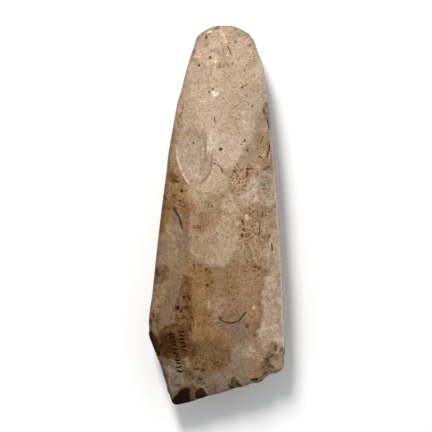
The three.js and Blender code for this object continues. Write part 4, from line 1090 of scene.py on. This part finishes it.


# Fine marks on the upper face, on the drawing grid: (path, breadth, strength). Most are dark cracks; a few are painted
# shade on step walls that face away from the light.
CRACKS_AND_STEP_SHADE = [
    ([(227.3, 46), (228.4, 48.2), (229.6, 50.4), (230.4, 53), (231.6, 55.6)], 1.15, 0.9),
    ([(195, 59.5), (203, 59), (210, 59.8)], 0.9, 0.35),
    ([(214.2, 29.8), (216.7, 28.3), (219.4, 27)], 1.8, 0.6),
    ([(231, 111.5), (236, 107), (241, 103), (245, 101), (248, 103), (248.5, 106)], 0.9, 0.5),
    ([(241.4, 88.4), (243.2, 87)], 1.7, 0.9),
    ([(243, 87.2), (245.5, 85.6), (248, 84)], 1.1, 0.7),
    ([(262.4, 109), (263.7, 111.5), (265, 114.5)], 2.2, 0.5),
    ([(265.2, 102), (265.7, 104.5), (266, 107)], 1.6, 0.5),
    ([(267.5, 118.5), (268.2, 125), (269.2, 130)], 1.5, 0.8),
    ([(182.2, 112.4), (181.1, 114.5), (180, 116.8)], 2.1, 0.5),
    ([(183, 104), (183.4, 107), (182.8, 110)], 1.1, 0.5),
    ([(176.5, 118), (178, 122), (178.8, 128)], 1.1, 0.5),
    ([(214.4, 117.5), (214.8, 120.5), (215, 123.4)], 1.25, 0.9),
    # the step lines on the right of the long scar: painted shade on their walls
    ([(206.6, 133), (206.2, 146), (205.7, 156), (205.8, 162), (206.4, 166)], 1.9, 0.3),
    ([(200.8, 148), (200.7, 158), (199.6, 170)], 2.2, 0.14),
    ([(213, 149.5), (212.2, 158), (211.5, 167), (210.2, 173.5), (206.4, 178), (202, 182.4)], 1.8, 0.34),
    ([(213.6, 163), (217, 165), (220, 167.4), (221.8, 169.6)], 1.0, 0.8),
    ([(221, 168.6), (222.1, 170.8), (222.8, 172.8)], 1.9, 0.7),
    ([(214, 159), (217, 162)], 0.8, 0.6),
    ([(220, 160), (223, 163)], 0.7, 0.5),
    ([(245.4, 168.8), (248.4, 169.5)], 1.4, 0.8),
    ([(249.2, 169), (252.6, 168.9)], 1.5, 0.8),
    ([(269.4, 145), (269.1, 148), (268.9, 151)], 1.4, 0.95),
    ([(268, 151.5), (267.2, 155), (267, 158.4)], 1.3, 0.8),
    ([(258.6, 156.2), (260.2, 157.4), (261.8, 158)], 1.5, 0.75),
    ([(263.5, 169.6), (266.6, 168.1), (269.8, 166.6)], 2.3, 0.5),
    ([(247.3, 172), (247, 175), (246.6, 178)], 1.8, 0.55),
    ([(172.6, 181.6), (175.8, 181), (179, 182.2)], 2.2, 0.7),
    ([(164.8, 195), (165.6, 197.6), (166.4, 200)], 1.6, 0.5),
    ([(174.4, 206), (175.4, 208.4), (176.2, 210.6)], 1.6, 0.6),
    # painted shade on the steep right wall of the leaf-shaped scar
    ([(177, 212.4), (179, 216.4), (180.4, 220.4), (181, 225)], 2.2, 0.75),
    ([(195.3, 228), (199.5, 226.9), (203.5, 225.8)], 1.9, 0.5),
    ([(262.2, 211.6), (262.3, 216.6)], 1.6, 0.6),
    ([(259.9, 221.5), (259.7, 226.5), (259.1, 231.4), (258.6, 236.4)], 1.25, 0.75),
    ([(258.3, 214.5), (258.8, 219)], 0.9, 0.4),
    ([(271.6, 243), (271.9, 247), (271.8, 251)], 1.5, 0.95),
    ([(193.8, 263.8), (194.6, 266.2), (195.3, 268.6)], 1.5, 0.7),
    ([(156.4, 268.4), (157.9, 272.3), (159.2, 276)], 2.7, 0.4),
    ([(243.5, 271), (247, 271.6)], 1.5, 0.55),
    ([(165.6, 296.6), (168, 298), (171, 301)], 1.1, 0.5),
    ([(153.4, 310.4), (153.7, 313.8), (154, 317)], 2.6, 0.6),
    ([(151.2, 319.4), (151.4, 323.7), (151.7, 328)], 2.2, 0.35),
    # the hinge line: a crease, with painted shade on the small step below it that faces away from the light
    ([(219, 317), (220, 318.4), (223, 321), (227, 322.2), (233, 322.2), (238, 321), (241, 318), (243, 315), (246, 312)], 1.5, 0.85),
    ([(173, 325.2), (174.9, 324.3), (176.8, 323.4)], 1.7, 0.55),
    ([(164.8, 328.9), (165.8, 327.4), (166.9, 326)], 1.5, 0.55),
    ([(190.9, 330), (190.6, 327.6), (190, 323)], 2.0, 0.5),
    ([(150.6, 331), (151.9, 334.6), (152.6, 339.8), (155.2, 346.6), (157, 350.6), (159.6, 353.4)], 2.4, 0.9),
    ([(159.8, 344.8), (161.2, 344.1), (162.8, 342.6)], 2.4, 0.5),
    ([(161.6, 339.6), (164, 337.4), (166.6, 335.9), (170, 334.6)], 1.9, 0.5),
    ([(163.2, 354.4), (167.1, 354.9), (171, 355.8)], 2.2, 0.55),
    ([(188, 369.8), (189.6, 371.9), (191.2, 374)], 2.0, 0.5),
    ([(161.6, 359.6), (165.2, 372.6), (168.4, 385.6), (171.4, 397)], 1.3, 0.6),
    ([(194, 368.5), (196.8, 368.6), (199.2, 368.3)], 1.5, 0.8),
    ([(201.6, 369.3), (205.4, 369.7)], 1.5, 0.9),
    ([(213.6, 362.8), (216, 362.4), (218.6, 362.2)], 1.8, 0.7),
    ([(198, 377.6), (200, 378.4), (202.2, 379.2)], 1.6, 0.85),
    ([(192.6, 375.6), (193.5, 379)], 1.2, 0.6),
    ([(215, 383), (215.3, 388), (215, 393)], 0.9, 0.5),
    ([(228.8, 385), (230.7, 386.6), (232.6, 388.2)], 2.0, 0.9),
    ([(236.8, 383), (238.9, 384.4), (241, 385.8)], 1.8, 0.9),
    ([(231.2, 384), (231.8, 380.6), (233.4, 377.2)], 2.0, 0.5),
    ([(251.6, 379.7), (254.4, 379.6), (257.2, 379.3)], 2.1, 0.9),
    ([(257.4, 379.6), (259.8, 378.3), (263.6, 375.8)], 1.5, 0.45),
    ([(265.4, 358.9), (269.3, 357), (273.6, 354.8)], 1.8, 0.7),
    ([(266.4, 364), (270.1, 366), (273.6, 367.6)], 2.4, 0.6),
    ([(263.6, 374.2), (265.5, 373.6), (267, 372.4)], 2.4, 0.7),
    ([(275.2, 345.2), (275.7, 348.2), (276, 351.2)], 1.9, 0.65),
    ([(279.8, 352.2), (281.6, 349)], 1.6, 0.55),
    ([(275.4, 371), (278.5, 369.7), (281.6, 368.2)], 1.5, 0.5),
]
DOTS = [  # u, v, radius, strength
    (206.2, 37.6, 1.4, .7), (235.2, 42.3, 1.25, .75), (229.4, 43, 1.0, .6), (221.5, 43, 1.0, .55), (222.2, 45.4, .9, .4), (250, 45.5, 1.3, .6), (228.2, 58, .9, .4),
    (210.3, 58, 1.45, .95), (199.3, 65.7, 1.35, .95), (223.4, 51, 1.0, .45), (224, 54.4, .8, .4),
    (251, 57, .8, .6), (253.5, 59, .9, .6), (250, 60.5, .8, .6), (254.5, 61.5, .8, .55), (249.4, 58, .7, .5), (224, 67, 1.2, .5), (232.4, 64.2, 1.0, .6), (228, 65.5, .9, .6),
    (219.4, 67.4, 1.2, .5), (244.8, 71, 1.1, .65), (246, 66, 1.0, .55), (254, 76, 1.0, .6), (223.4, 99, 1.1, .6), (209.2, 92.6, 1.3, .7), (212.8, 89.8, 1.2, .75),
    (236.4, 94.4, 1.1, .5), (246.8, 96.4, 1.0, .5), (258.8, 91, 1.0, .4), (265, 93, 1.4, .55), (251.8, 106.6, 1.2, .6), (232, 118, .9, .6), (244.6, 141, 1.3, .9), (241.4, 144.8, 1.0, .6),
    (247.6, 150.7, 1.4, .8), (220.7, 149.8, 1.75, 1.0), (193.3, 143.1, 1.2, .75), (270, 133, 1.0, .5), (262, 140, 1.2, .5), (260.4, 142.6, 1.0, .5), (266, 143, .9, .5),
    (234.6, 172, 1.7, .65), (231, 177, 1.1, .6), (239, 183, 1.2, .6), (245, 186, 1.2, .6), (237.4, 176.6, 1.0, .5),
    (182, 191, 1.7, .8), (168, 208, 1.1, .6), (163, 208, 1.0, .6), (180, 201, 1.3, .7), (184, 207, 1.1, .6), (174, 196, 1.2, .65),
    (206, 202, 1.3, .6), (212, 206, 1.2, .6), (221, 211, 1.1, .6), (220, 217, 1.0, .5), (227, 222, 1.1, .5), (217, 233, 1.1, .5), (197, 237, 1.3, .6),
    (191, 238, 1.0, .5), (242, 220.8, 1.3, .7), (243, 224, 1.2, .7), (243.3, 229.5, 1.5, .75), (241.8, 235.6, 1.7, .85), (250, 214, 1.2, .6),
    (250, 209, 1.1, .6), (257, 241, 1.1, .6), (251, 238, 1.0, .5), (269, 212, 1.1, .6),
    (269, 236, 1.2, .6), (249, 247, 1.1, .6), (253, 246, 1.1, .55), (236, 251, 1.1, .5), (255.1, 266.1, 1.7, .75), (259.2, 267.8, 1.5, .7),
    (206, 269.6, 1.3, .6), (210, 272, 1.2, .6), (275, 206, 1.1, .6), (278.5, 237, 1.1, .6),
    (159.3, 306.6, 1.3, .7), (184, 296.8, 1.7, .85), (188, 296, 1.3, .8), (178.1, 307.3, 2.3, .95), (190, 299, 1.2, .7), (181, 311, 1.4, .8), (176, 308, 1.3, .5),
    (186.3, 308, 1.2, .7), (192, 317, 1.4, .7), (207.3, 284.7, 1.4, .9), (212.5, 281.8, 1.2, .75), (209.3, 315, 1.6, .5), (233, 299, 1.2, .6), (247, 325.6, 1.6, .75), (268, 361, 1.0, .7),
]
# Small pale bruises and the lit crests of step lines: (path, breadth, strength).
GLINTS = [
    ([(208, 32.6), (211, 31.6)], 1.3, 0.75),
    ([(220.4, 29.6), (223.4, 34), (225.2, 38.4), (225.8, 43)], 1.2, 0.4),
    ([(213.4, 60), (215.6, 62.6)], 2.6, 0.5),
    ([(214.8, 67), (214.6, 72)], 1.4, 0.35),
    ([(212.2, 93.4), (214.6, 91.8)], 1.3, 0.75),
    ([(213.6, 95.6), (216, 94.8), (218.8, 93.6)], 1.5, 0.75),
    ([(209, 101), (213, 99.6), (217, 97)], 1.0, 0.3),
    ([(176.6, 150), (177.6, 156.8), (178.6, 161.6), (181, 168.6), (183.5, 174.8), (186.6, 180.6), (189, 184.4)], 1.3, 0.38),
    ([(207.4, 133), (207.8, 146), (207.6, 158)], 1.2, 0.3),
    ([(211.6, 176), (208.6, 180.6)], 1.2, 0.35),
    ([(256.8, 165.4), (260, 167.4)], 3.0, 0.5),
    ([(262.4, 156.6), (264.8, 154.4)], 2.0, 0.6),
    ([(269.6, 153.6), (269.4, 157.6)], 1.0, 0.7),
    ([(190.6, 222), (191.6, 214), (192, 209), (196, 206.2)], 1.6, 0.35),
    ([(191.8, 227), (191.8, 232)], 2.0, 0.3),
    ([(263.6, 223.6), (264.2, 229.6)], 2.4, 0.45),
    ([(245.8, 215), (247.2, 218.8)], 2.2, 0.6),
    ([(174.6, 223.6), (176.4, 230)], 2.4, 0.3),
    ([(170.9, 301), (171.4, 313)], 1.0, 0.35),
    ([(253.2, 308.4), (254.2, 305.8)], 1.7, 0.6),
    ([(195.7, 320), (195.6, 327.4)], 2.0, 0.35),
    ([(160.4, 329.6), (162.8, 328)], 1.8, 0.4),
    ([(194.4, 336.6), (194.6, 341)], 1.8, 0.25),
    ([(158.6, 340), (159, 343)], 1.6, 0.35),
    ([(155.2, 333), (157, 334)], 1.8, 0.35),
    ([(246, 328.8), (247, 330.6)], 1.8, 0.3),
    ([(258.6, 363.4), (260.6, 361), (262.4, 359.6)], 2.8, 0.35),
    ([(271.8, 363.6), (275.6, 362)], 2.6, 0.35),
    ([(260.2, 370.6), (260.6, 375)], 2.0, 0.35),
    ([(249, 375.4), (253, 375.8)], 2.0, 0.4),
    ([(246, 370), (247.4, 374.4)], 1.8, 0.35),
    ([(237.8, 378.2), (241, 380.4)], 1.9, 0.3),
    ([(226.6, 379), (228, 376.2)], 1.8, 0.3),
    ([(201.4, 387.6), (205, 385.4)], 2.0, 0.25),
    ([(206.4, 391), (208.2, 387.6)], 2.4, 0.25),
    ([(174.8, 396), (178, 391.6)], 1.8, 0.3),
]
# Two rows of pen strokes: they only stand where writing was, and spell nothing.
INK = []
for v, shift, lean, long, stout in [(333.4, 0.0, 10, 4.4, 1.5), (336.6, 0.4, -14, 4.8, 1.5), (341.2, 1.0, 6, 4.0, 1.5), (344.4, 1.4, 22, 3.6, 1.5), (348.8, 0.6, -6, 5.0, 1.6),
                                    (353.0, 1.2, 16, 4.6, 1.6), (356.0, 2.0, -12, 3.4, 1.5), (359.8, 0.8, 4, 4.6, 1.6), (362.4, 1.4, 14, 3.8, 1.5), (366.6, 0.8, -8, 4.6, 1.5), (370.8, 1.0, 8, 4.8, 1.8)]:
    u = 171.9 + (v - 333.4) * 0.2 + 0.4 * shift
    a, half = math.radians(lean), long / 2
    INK.append(([(u - half * math.cos(a), v - half * math.sin(a)), (u, v + 0.3), (u + half * math.cos(a), v + half * math.sin(a))], stout, 1.0))
for v, shift, lean, long, stout in [(331.6, 0.0, -10, 4.4, 1.5), (335.4, 0.6, 14, 3.8, 1.5), (338.8, 0.4, -4, 4.8, 1.6), (342.6, 0.8, 10, 4.4, 1.5), (346.4, 0.2, -12, 4.6, 1.6), (349.8, 0.8, 6, 4.0, 1.5)]:
    u = 181.4 + (v - 331.6) * 0.12 + 0.4 * shift
    a, half = math.radians(lean), long / 2
    INK.append(([(u - half * math.cos(a), v - half * math.sin(a)), (u, v - 0.3), (u + half * math.cos(a), v + half * math.sin(a))], stout, 1.0))


def lines_mask(g, prefix, count, waver, soft):
    """All the lines of one kind as one mask."""
    total = 0.0
    for k in range(count):
        node = g.add("ShaderNodeAttribute", attribute_name=f"{prefix}_{k}", attribute_type="GEOMETRY")
        sep = g.add("ShaderNodeSeparateXYZ")
        g.put(sep.inputs[0], node.outputs["Vector"])
        across = g.math("ADD", g.math("ABSOLUTE", sep.outputs[0]), waver)
        mask = g.math("MULTIPLY", g.ramp(across, 1 - soft, 1 + soft, 1.0, 0.0), g.ramp(sep.outputs[1], 0.0, 0.16))
        total = g.math("MAXIMUM", g.math("MULTIPLY", mask, sep.outputs[2]), total)
    return total


def dots_mask(g, prefix, count, waver, soft):
    total = 0.0
    for k in range(count):
        dx, dy, guard, strength = g.split(f"{prefix}_{k}")
        across = g.math("SQRT", g.math("ADD", g.math("MULTIPLY", dx, dx), g.math("MULTIPLY", dy, dy)))
        mask = g.math("MULTIPLY", g.ramp(g.math("ADD", across, waver), 1 - soft, 1 + soft, 1.0, 0.0), g.ramp(guard, 0.0, 0.1))
        total = g.math("MAXIMUM", g.math("MULTIPLY", mask, strength), total)
    return total


def flint_material(cracks_and_shade_n, dots_n, ink_n, glints_n):
    material = bpy.data.materials.new("patinated_flint")
    material.use_nodes = True
    tree = material.node_tree
    tree.nodes.clear()
    g = Graph(tree)
    out = g.add("ShaderNodeOutputMaterial")
    bsdf = g.add("ShaderNodeBsdfPrincipled")
    tree.links.new(bsdf.outputs[0], out.inputs[0])
    place = g.add("ShaderNodeTexCoord").outputs["Object"]
    mm = g.vector("SCALE", place, scale=1000.0)

    # the pigments compete where they meet, so their borders break up into cloudy flecks
    weights = g.split("coat_a") + g.split("coat_b") + g.split("coat_c")
    speck = weights.pop()
    upper, grainy, streaky, side = g.split("coat_d")
    names = list(PIGMENTS)
    clouds = []
    for k in range(4):
        shifted = g.vector("ADD", mm, (37.0 * k, 11.0 * k, 5.0 * k))
        colour = g.noise(shifted, 0.34, 5.0, 0.62, 0.4, colour=True)
        sep = g.add("ShaderNodeSeparateColor")
        g.put(sep.inputs[0], colour)
        clouds += list(sep.outputs)[:3]
    total, mixed = None, None
    for k, name in enumerate(names):
        push = g.math("POWER", 2.718281828, g.math("MULTIPLY", g.math("SUBTRACT", clouds[k], 0.5), 6.5))
        w = g.math("MULTIPLY", g.math("MAXIMUM", weights[k], 0.0), push)
        tint = g.vector("SCALE", linear(PIGMENTS[name])[:3], scale=w)
        total = w if total is None else g.math("ADD", total, w)
        mixed = tint if mixed is None else g.vector("ADD", mixed, tint)
    base = g.vector("SCALE", mixed, scale=g.math("DIVIDE", 1.0, g.math("MAXIMUM", total, 1e-4)))

    # lighter and darker clouding, and a fine grain
    slow = g.noise(mm, 0.07, 3.0, 0.5)
    mid = g.noise(mm, 0.62, 4.0, 0.65)
    fine = g.noise(mm, 1.55, 2.0, 0.6)
    level = g.math("ADD", g.math("MULTIPLY", g.math("SUBTRACT", slow, 0.5), 0.10), g.math("MULTIPLY", g.math("SUBTRACT", mid, 0.5), 0.7))
    level = g.math("ADD", level, g.math("MULTIPLY", g.math("SUBTRACT", fine, 0.5), 1.55))
    base = g.vector("SCALE", base, scale=g.math("ADD", 1.0, level))

    # streaks along the length
    stretched = g.vector("MULTIPLY", mm, (1.5, 0.12, 1.5))
    lines = g.ramp(g.noise(stretched, 1.0, 2.0, 0.5), 0.46, 0.64)
    base = g.mix(g.math("MULTIPLY", lines, g.math("MULTIPLY", streaky, 0.45)), base, linear((96, 80, 62)))

    # iron specks darken the stone: large ones in the mottled parts, a few anywhere, and pinpricks all over
    bent = g.vector("ADD", mm, g.vector("SCALE", g.vector("SUBTRACT", g.noise(mm, 1.1, 2.0, 0.5, colour=True), (0.5, 0.5, 0.5)), scale=1.3))

    def flecks(scale, rarity, growth, least, most, soft):
        cells = g.add("ShaderNodeTexVoronoi", feature="F1")
        g.put(cells.inputs["Vector"], bent)
        cells.inputs["Scale"].default_value = scale
        pick = g.add("ShaderNodeSeparateColor")
        g.put(pick.inputs[0], cells.outputs["Color"])
        size = g.math("MULTIPLY", g.math("SUBTRACT", pick.outputs[0], rarity), growth)
        spot = g.ramp(g.math("SUBTRACT", size, cells.outputs["Distance"]), -soft, soft)
        return g.math("MULTIPLY", spot, g.math("ADD", least, g.math("MULTIPLY", pick.outputs[1], most - least)))

    dense = g.math("MULTIPLY", speck, 0.85)
    flecked = g.math("MAXIMUM", flecks(0.78, 0.3, dense, 0.4, 1.0, 0.08), flecks(0.27, 0.45, 0.24, 0.3, 0.7, 0.04))
    rarity = g.math("SUBTRACT", 0.56, g.math("MULTIPLY", speck, 0.34))
    pin = flecks(0.98, rarity, 0.9, 0.25, 0.85, 0.1)
    flecked = g.math("MAXIMUM", flecked, pin)
    base = g.mix(flecked, base, g.vector("MULTIPLY", base, (0.36, 0.25, 0.15)))

    # cracks, pits, pen strokes and glints; some crack lines are painted shade on step walls, and the glints are pale
    # bruises and painted highlights on lit crests
    waver = g.math("MULTIPLY", g.math("SUBTRACT", g.noise(mm, 1.3, 2.0, 0.5), 0.5), 1.6)
    calm = g.math("MULTIPLY", g.math("SUBTRACT", g.noise(mm, 2.2, 1.0, 0.5), 0.5), 0.8)
    cracks_and_step_shade = lines_mask(g, "crack_and_shade", cracks_and_shade_n, waver, 0.6)
    pits = dots_mask(g, "dot", dots_n, waver, 0.45)
    ink = lines_mask(g, "ink", ink_n, calm, 0.3)
    glints = lines_mask(g, "glint", glints_n, g.math("MULTIPLY", waver, 1.3), 0.9)
    base = g.mix(glints, base, g.vector("SCALE", base, scale=1.85))
    base = g.mix(cracks_and_step_shade, base, g.vector("MULTIPLY", base, (0.17, 0.11, 0.06)))
    base = g.mix(pits, base, g.vector("MULTIPLY", base, (0.13, 0.075, 0.04)))
    base = g.mix(ink, base, linear((12, 6, 3)))
    # the bruised rim is darker and greyer, and a painted reflection of the floor lightens it down the right side
    dark, pale = g.split("coat_e")[:2]
    base = g.vector("MULTIPLY", base, g.vector("SUBTRACT", (1.0, 1.0, 1.0), g.vector("SCALE", (1.05, 0.85, 0.62), scale=dark)))
    base = g.mix(pale, base, linear((224, 221, 216)))
    g.put(bsdf.inputs["Base Color"], base)

    # polish: worn satin, duller in cloudy patches and on the side facets, with a fine grain
    dull = g.ramp(g.noise(mm, 0.22, 4.0, 0.6), 0.3, 0.7)
    rough = g.math("ADD", 0.31, g.math("MULTIPLY", dull, 0.1))
    rough = g.math("ADD", rough, g.math("MULTIPLY", fine, 0.07))
    rough = g.math("ADD", rough, g.math("MULTIPLY", side, 0.14), clamp=True)
    g.put(bsdf.inputs["Roughness"], rough)
    bsdf.inputs["Specular IOR Level"].default_value = 0.04
    bsdf.inputs["IOR"].default_value = 1.5

    height = g.math("ADD", g.math("MULTIPLY", mid, 0.05), g.math("MULTIPLY", fine, 0.02))
    height = g.math("ADD", height, g.math("MULTIPLY", g.noise(mm, 6.0, 2.0, 0.6), 0.008))
    height = g.math("SUBTRACT", height, g.math("MULTIPLY", g.math("MAXIMUM", cracks_and_step_shade, pits), 0.06))
    bump = g.add("ShaderNodeBump")
    bump.inputs["Strength"].default_value = 0.55
    bump.inputs["Distance"].default_value = 0.001
    g.put(bump.inputs["Height"], height)
    g.put(bsdf.inputs["Normal"], bump.outputs[0])
    return material
# [/material] ----------------------------------------------------------------------------


# [scene] --------------------------------------------------------------------------------
mesh, ring = build_mesh()
paint(mesh, ring)
marks = mark(mesh, ring)
axe = bpy.data.objects.new("axe_head_visual", mesh)
bpy.context.scene.collection.objects.link(axe)
mesh.materials.append(flint_material(*marks))
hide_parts("axe_head")
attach(axe, "root")


def plain_material(name, rgb, roughness):
    material = bpy.data.materials.new(name)
    material.use_nodes = True
    g = Graph(material.node_tree)
    bsdf = material.node_tree.nodes["Principled BSDF"]
    place = g.add("ShaderNodeTexCoord").outputs["Object"]
    tone = g.ramp(g.noise(place, 3.0, 2.0), 0.3, 0.7, 0.985, 1.0)
    g.put(bsdf.inputs["Base Color"], g.vector("SCALE", linear(rgb)[:3], scale=tone))
    bsdf.inputs["Roughness"].default_value = roughness
    bsdf.inputs["Specular IOR Level"].default_value = 0.1
    return material


half = 3.0
floor_mesh = bpy.data.meshes.new("floor")
floor_mesh.from_pydata([(-half, -half, 0), (half, -half, 0), (half, half, 0), (-half, half, 0)], [], [(0, 1, 2, 3)])
floor = bpy.data.objects.new("floor", floor_mesh)
bpy.context.scene.collection.objects.link(floor)
floor_mesh.materials.append(plain_material("floor_paper", (247, 247, 247), 0.9))

world = bpy.data.worlds.new("studio")
bpy.context.scene.world = world
world.use_nodes = True
wg = Graph(world.node_tree)
background = world.node_tree.nodes["Background"]
direction = wg.add("ShaderNodeTexCoord").outputs["Generated"]
up = wg.add("ShaderNodeSeparateXYZ")
wg.put(up.inputs[0], direction)
sky = wg.ramp(up.outputs[2], 0.74, 0.93, 0.78, 0.08)
wg.put(background.inputs["Strength"], sky)
background.inputs["Color"].default_value = (0.965, 0.99, 1.0, 1.0)


def area_light(name, place, size, height, watts, colour):
    data = bpy.data.lights.new(name, "AREA")
    data.shape = "ELLIPSE"
    data.size = size
    data.size_y = height
    data.energy = watts
    data.color = colour
    lamp = bpy.data.objects.new(name, data)
    bpy.context.scene.collection.objects.link(lamp)
    lamp.location = place
    aim = -np.array(place) / np.linalg.norm(place)
    from mathutils import Vector
    lamp.rotation_euler = Vector(aim).to_track_quat("-Z", "Y").to_euler()
    return lamp


area_light("key", (-0.32, 0.915, 0.86), 0.3, 0.62, 17.5, (1.0, 0.985, 0.965))

camera_data = bpy.data.cameras.new("camera")
camera_data.sensor_width = 36.0
camera_data.lens = 400.0
camera_data.clip_end = 20.0
camera = bpy.data.objects.new("camera", camera_data)
bpy.context.scene.collection.objects.link(camera)
camera.location = ((CENTRING[0] - 0.25) / 1000, (CENTRING[1] - 0.5) / 1000, 2.4 + 0.01455)
camera.rotation_euler = (0.0, 0.0, 0.0)
bpy.context.scene.camera = camera
bpy.context.scene.view_settings.view_transform = "Standard"
bpy.context.scene.view_settings.look = "None"
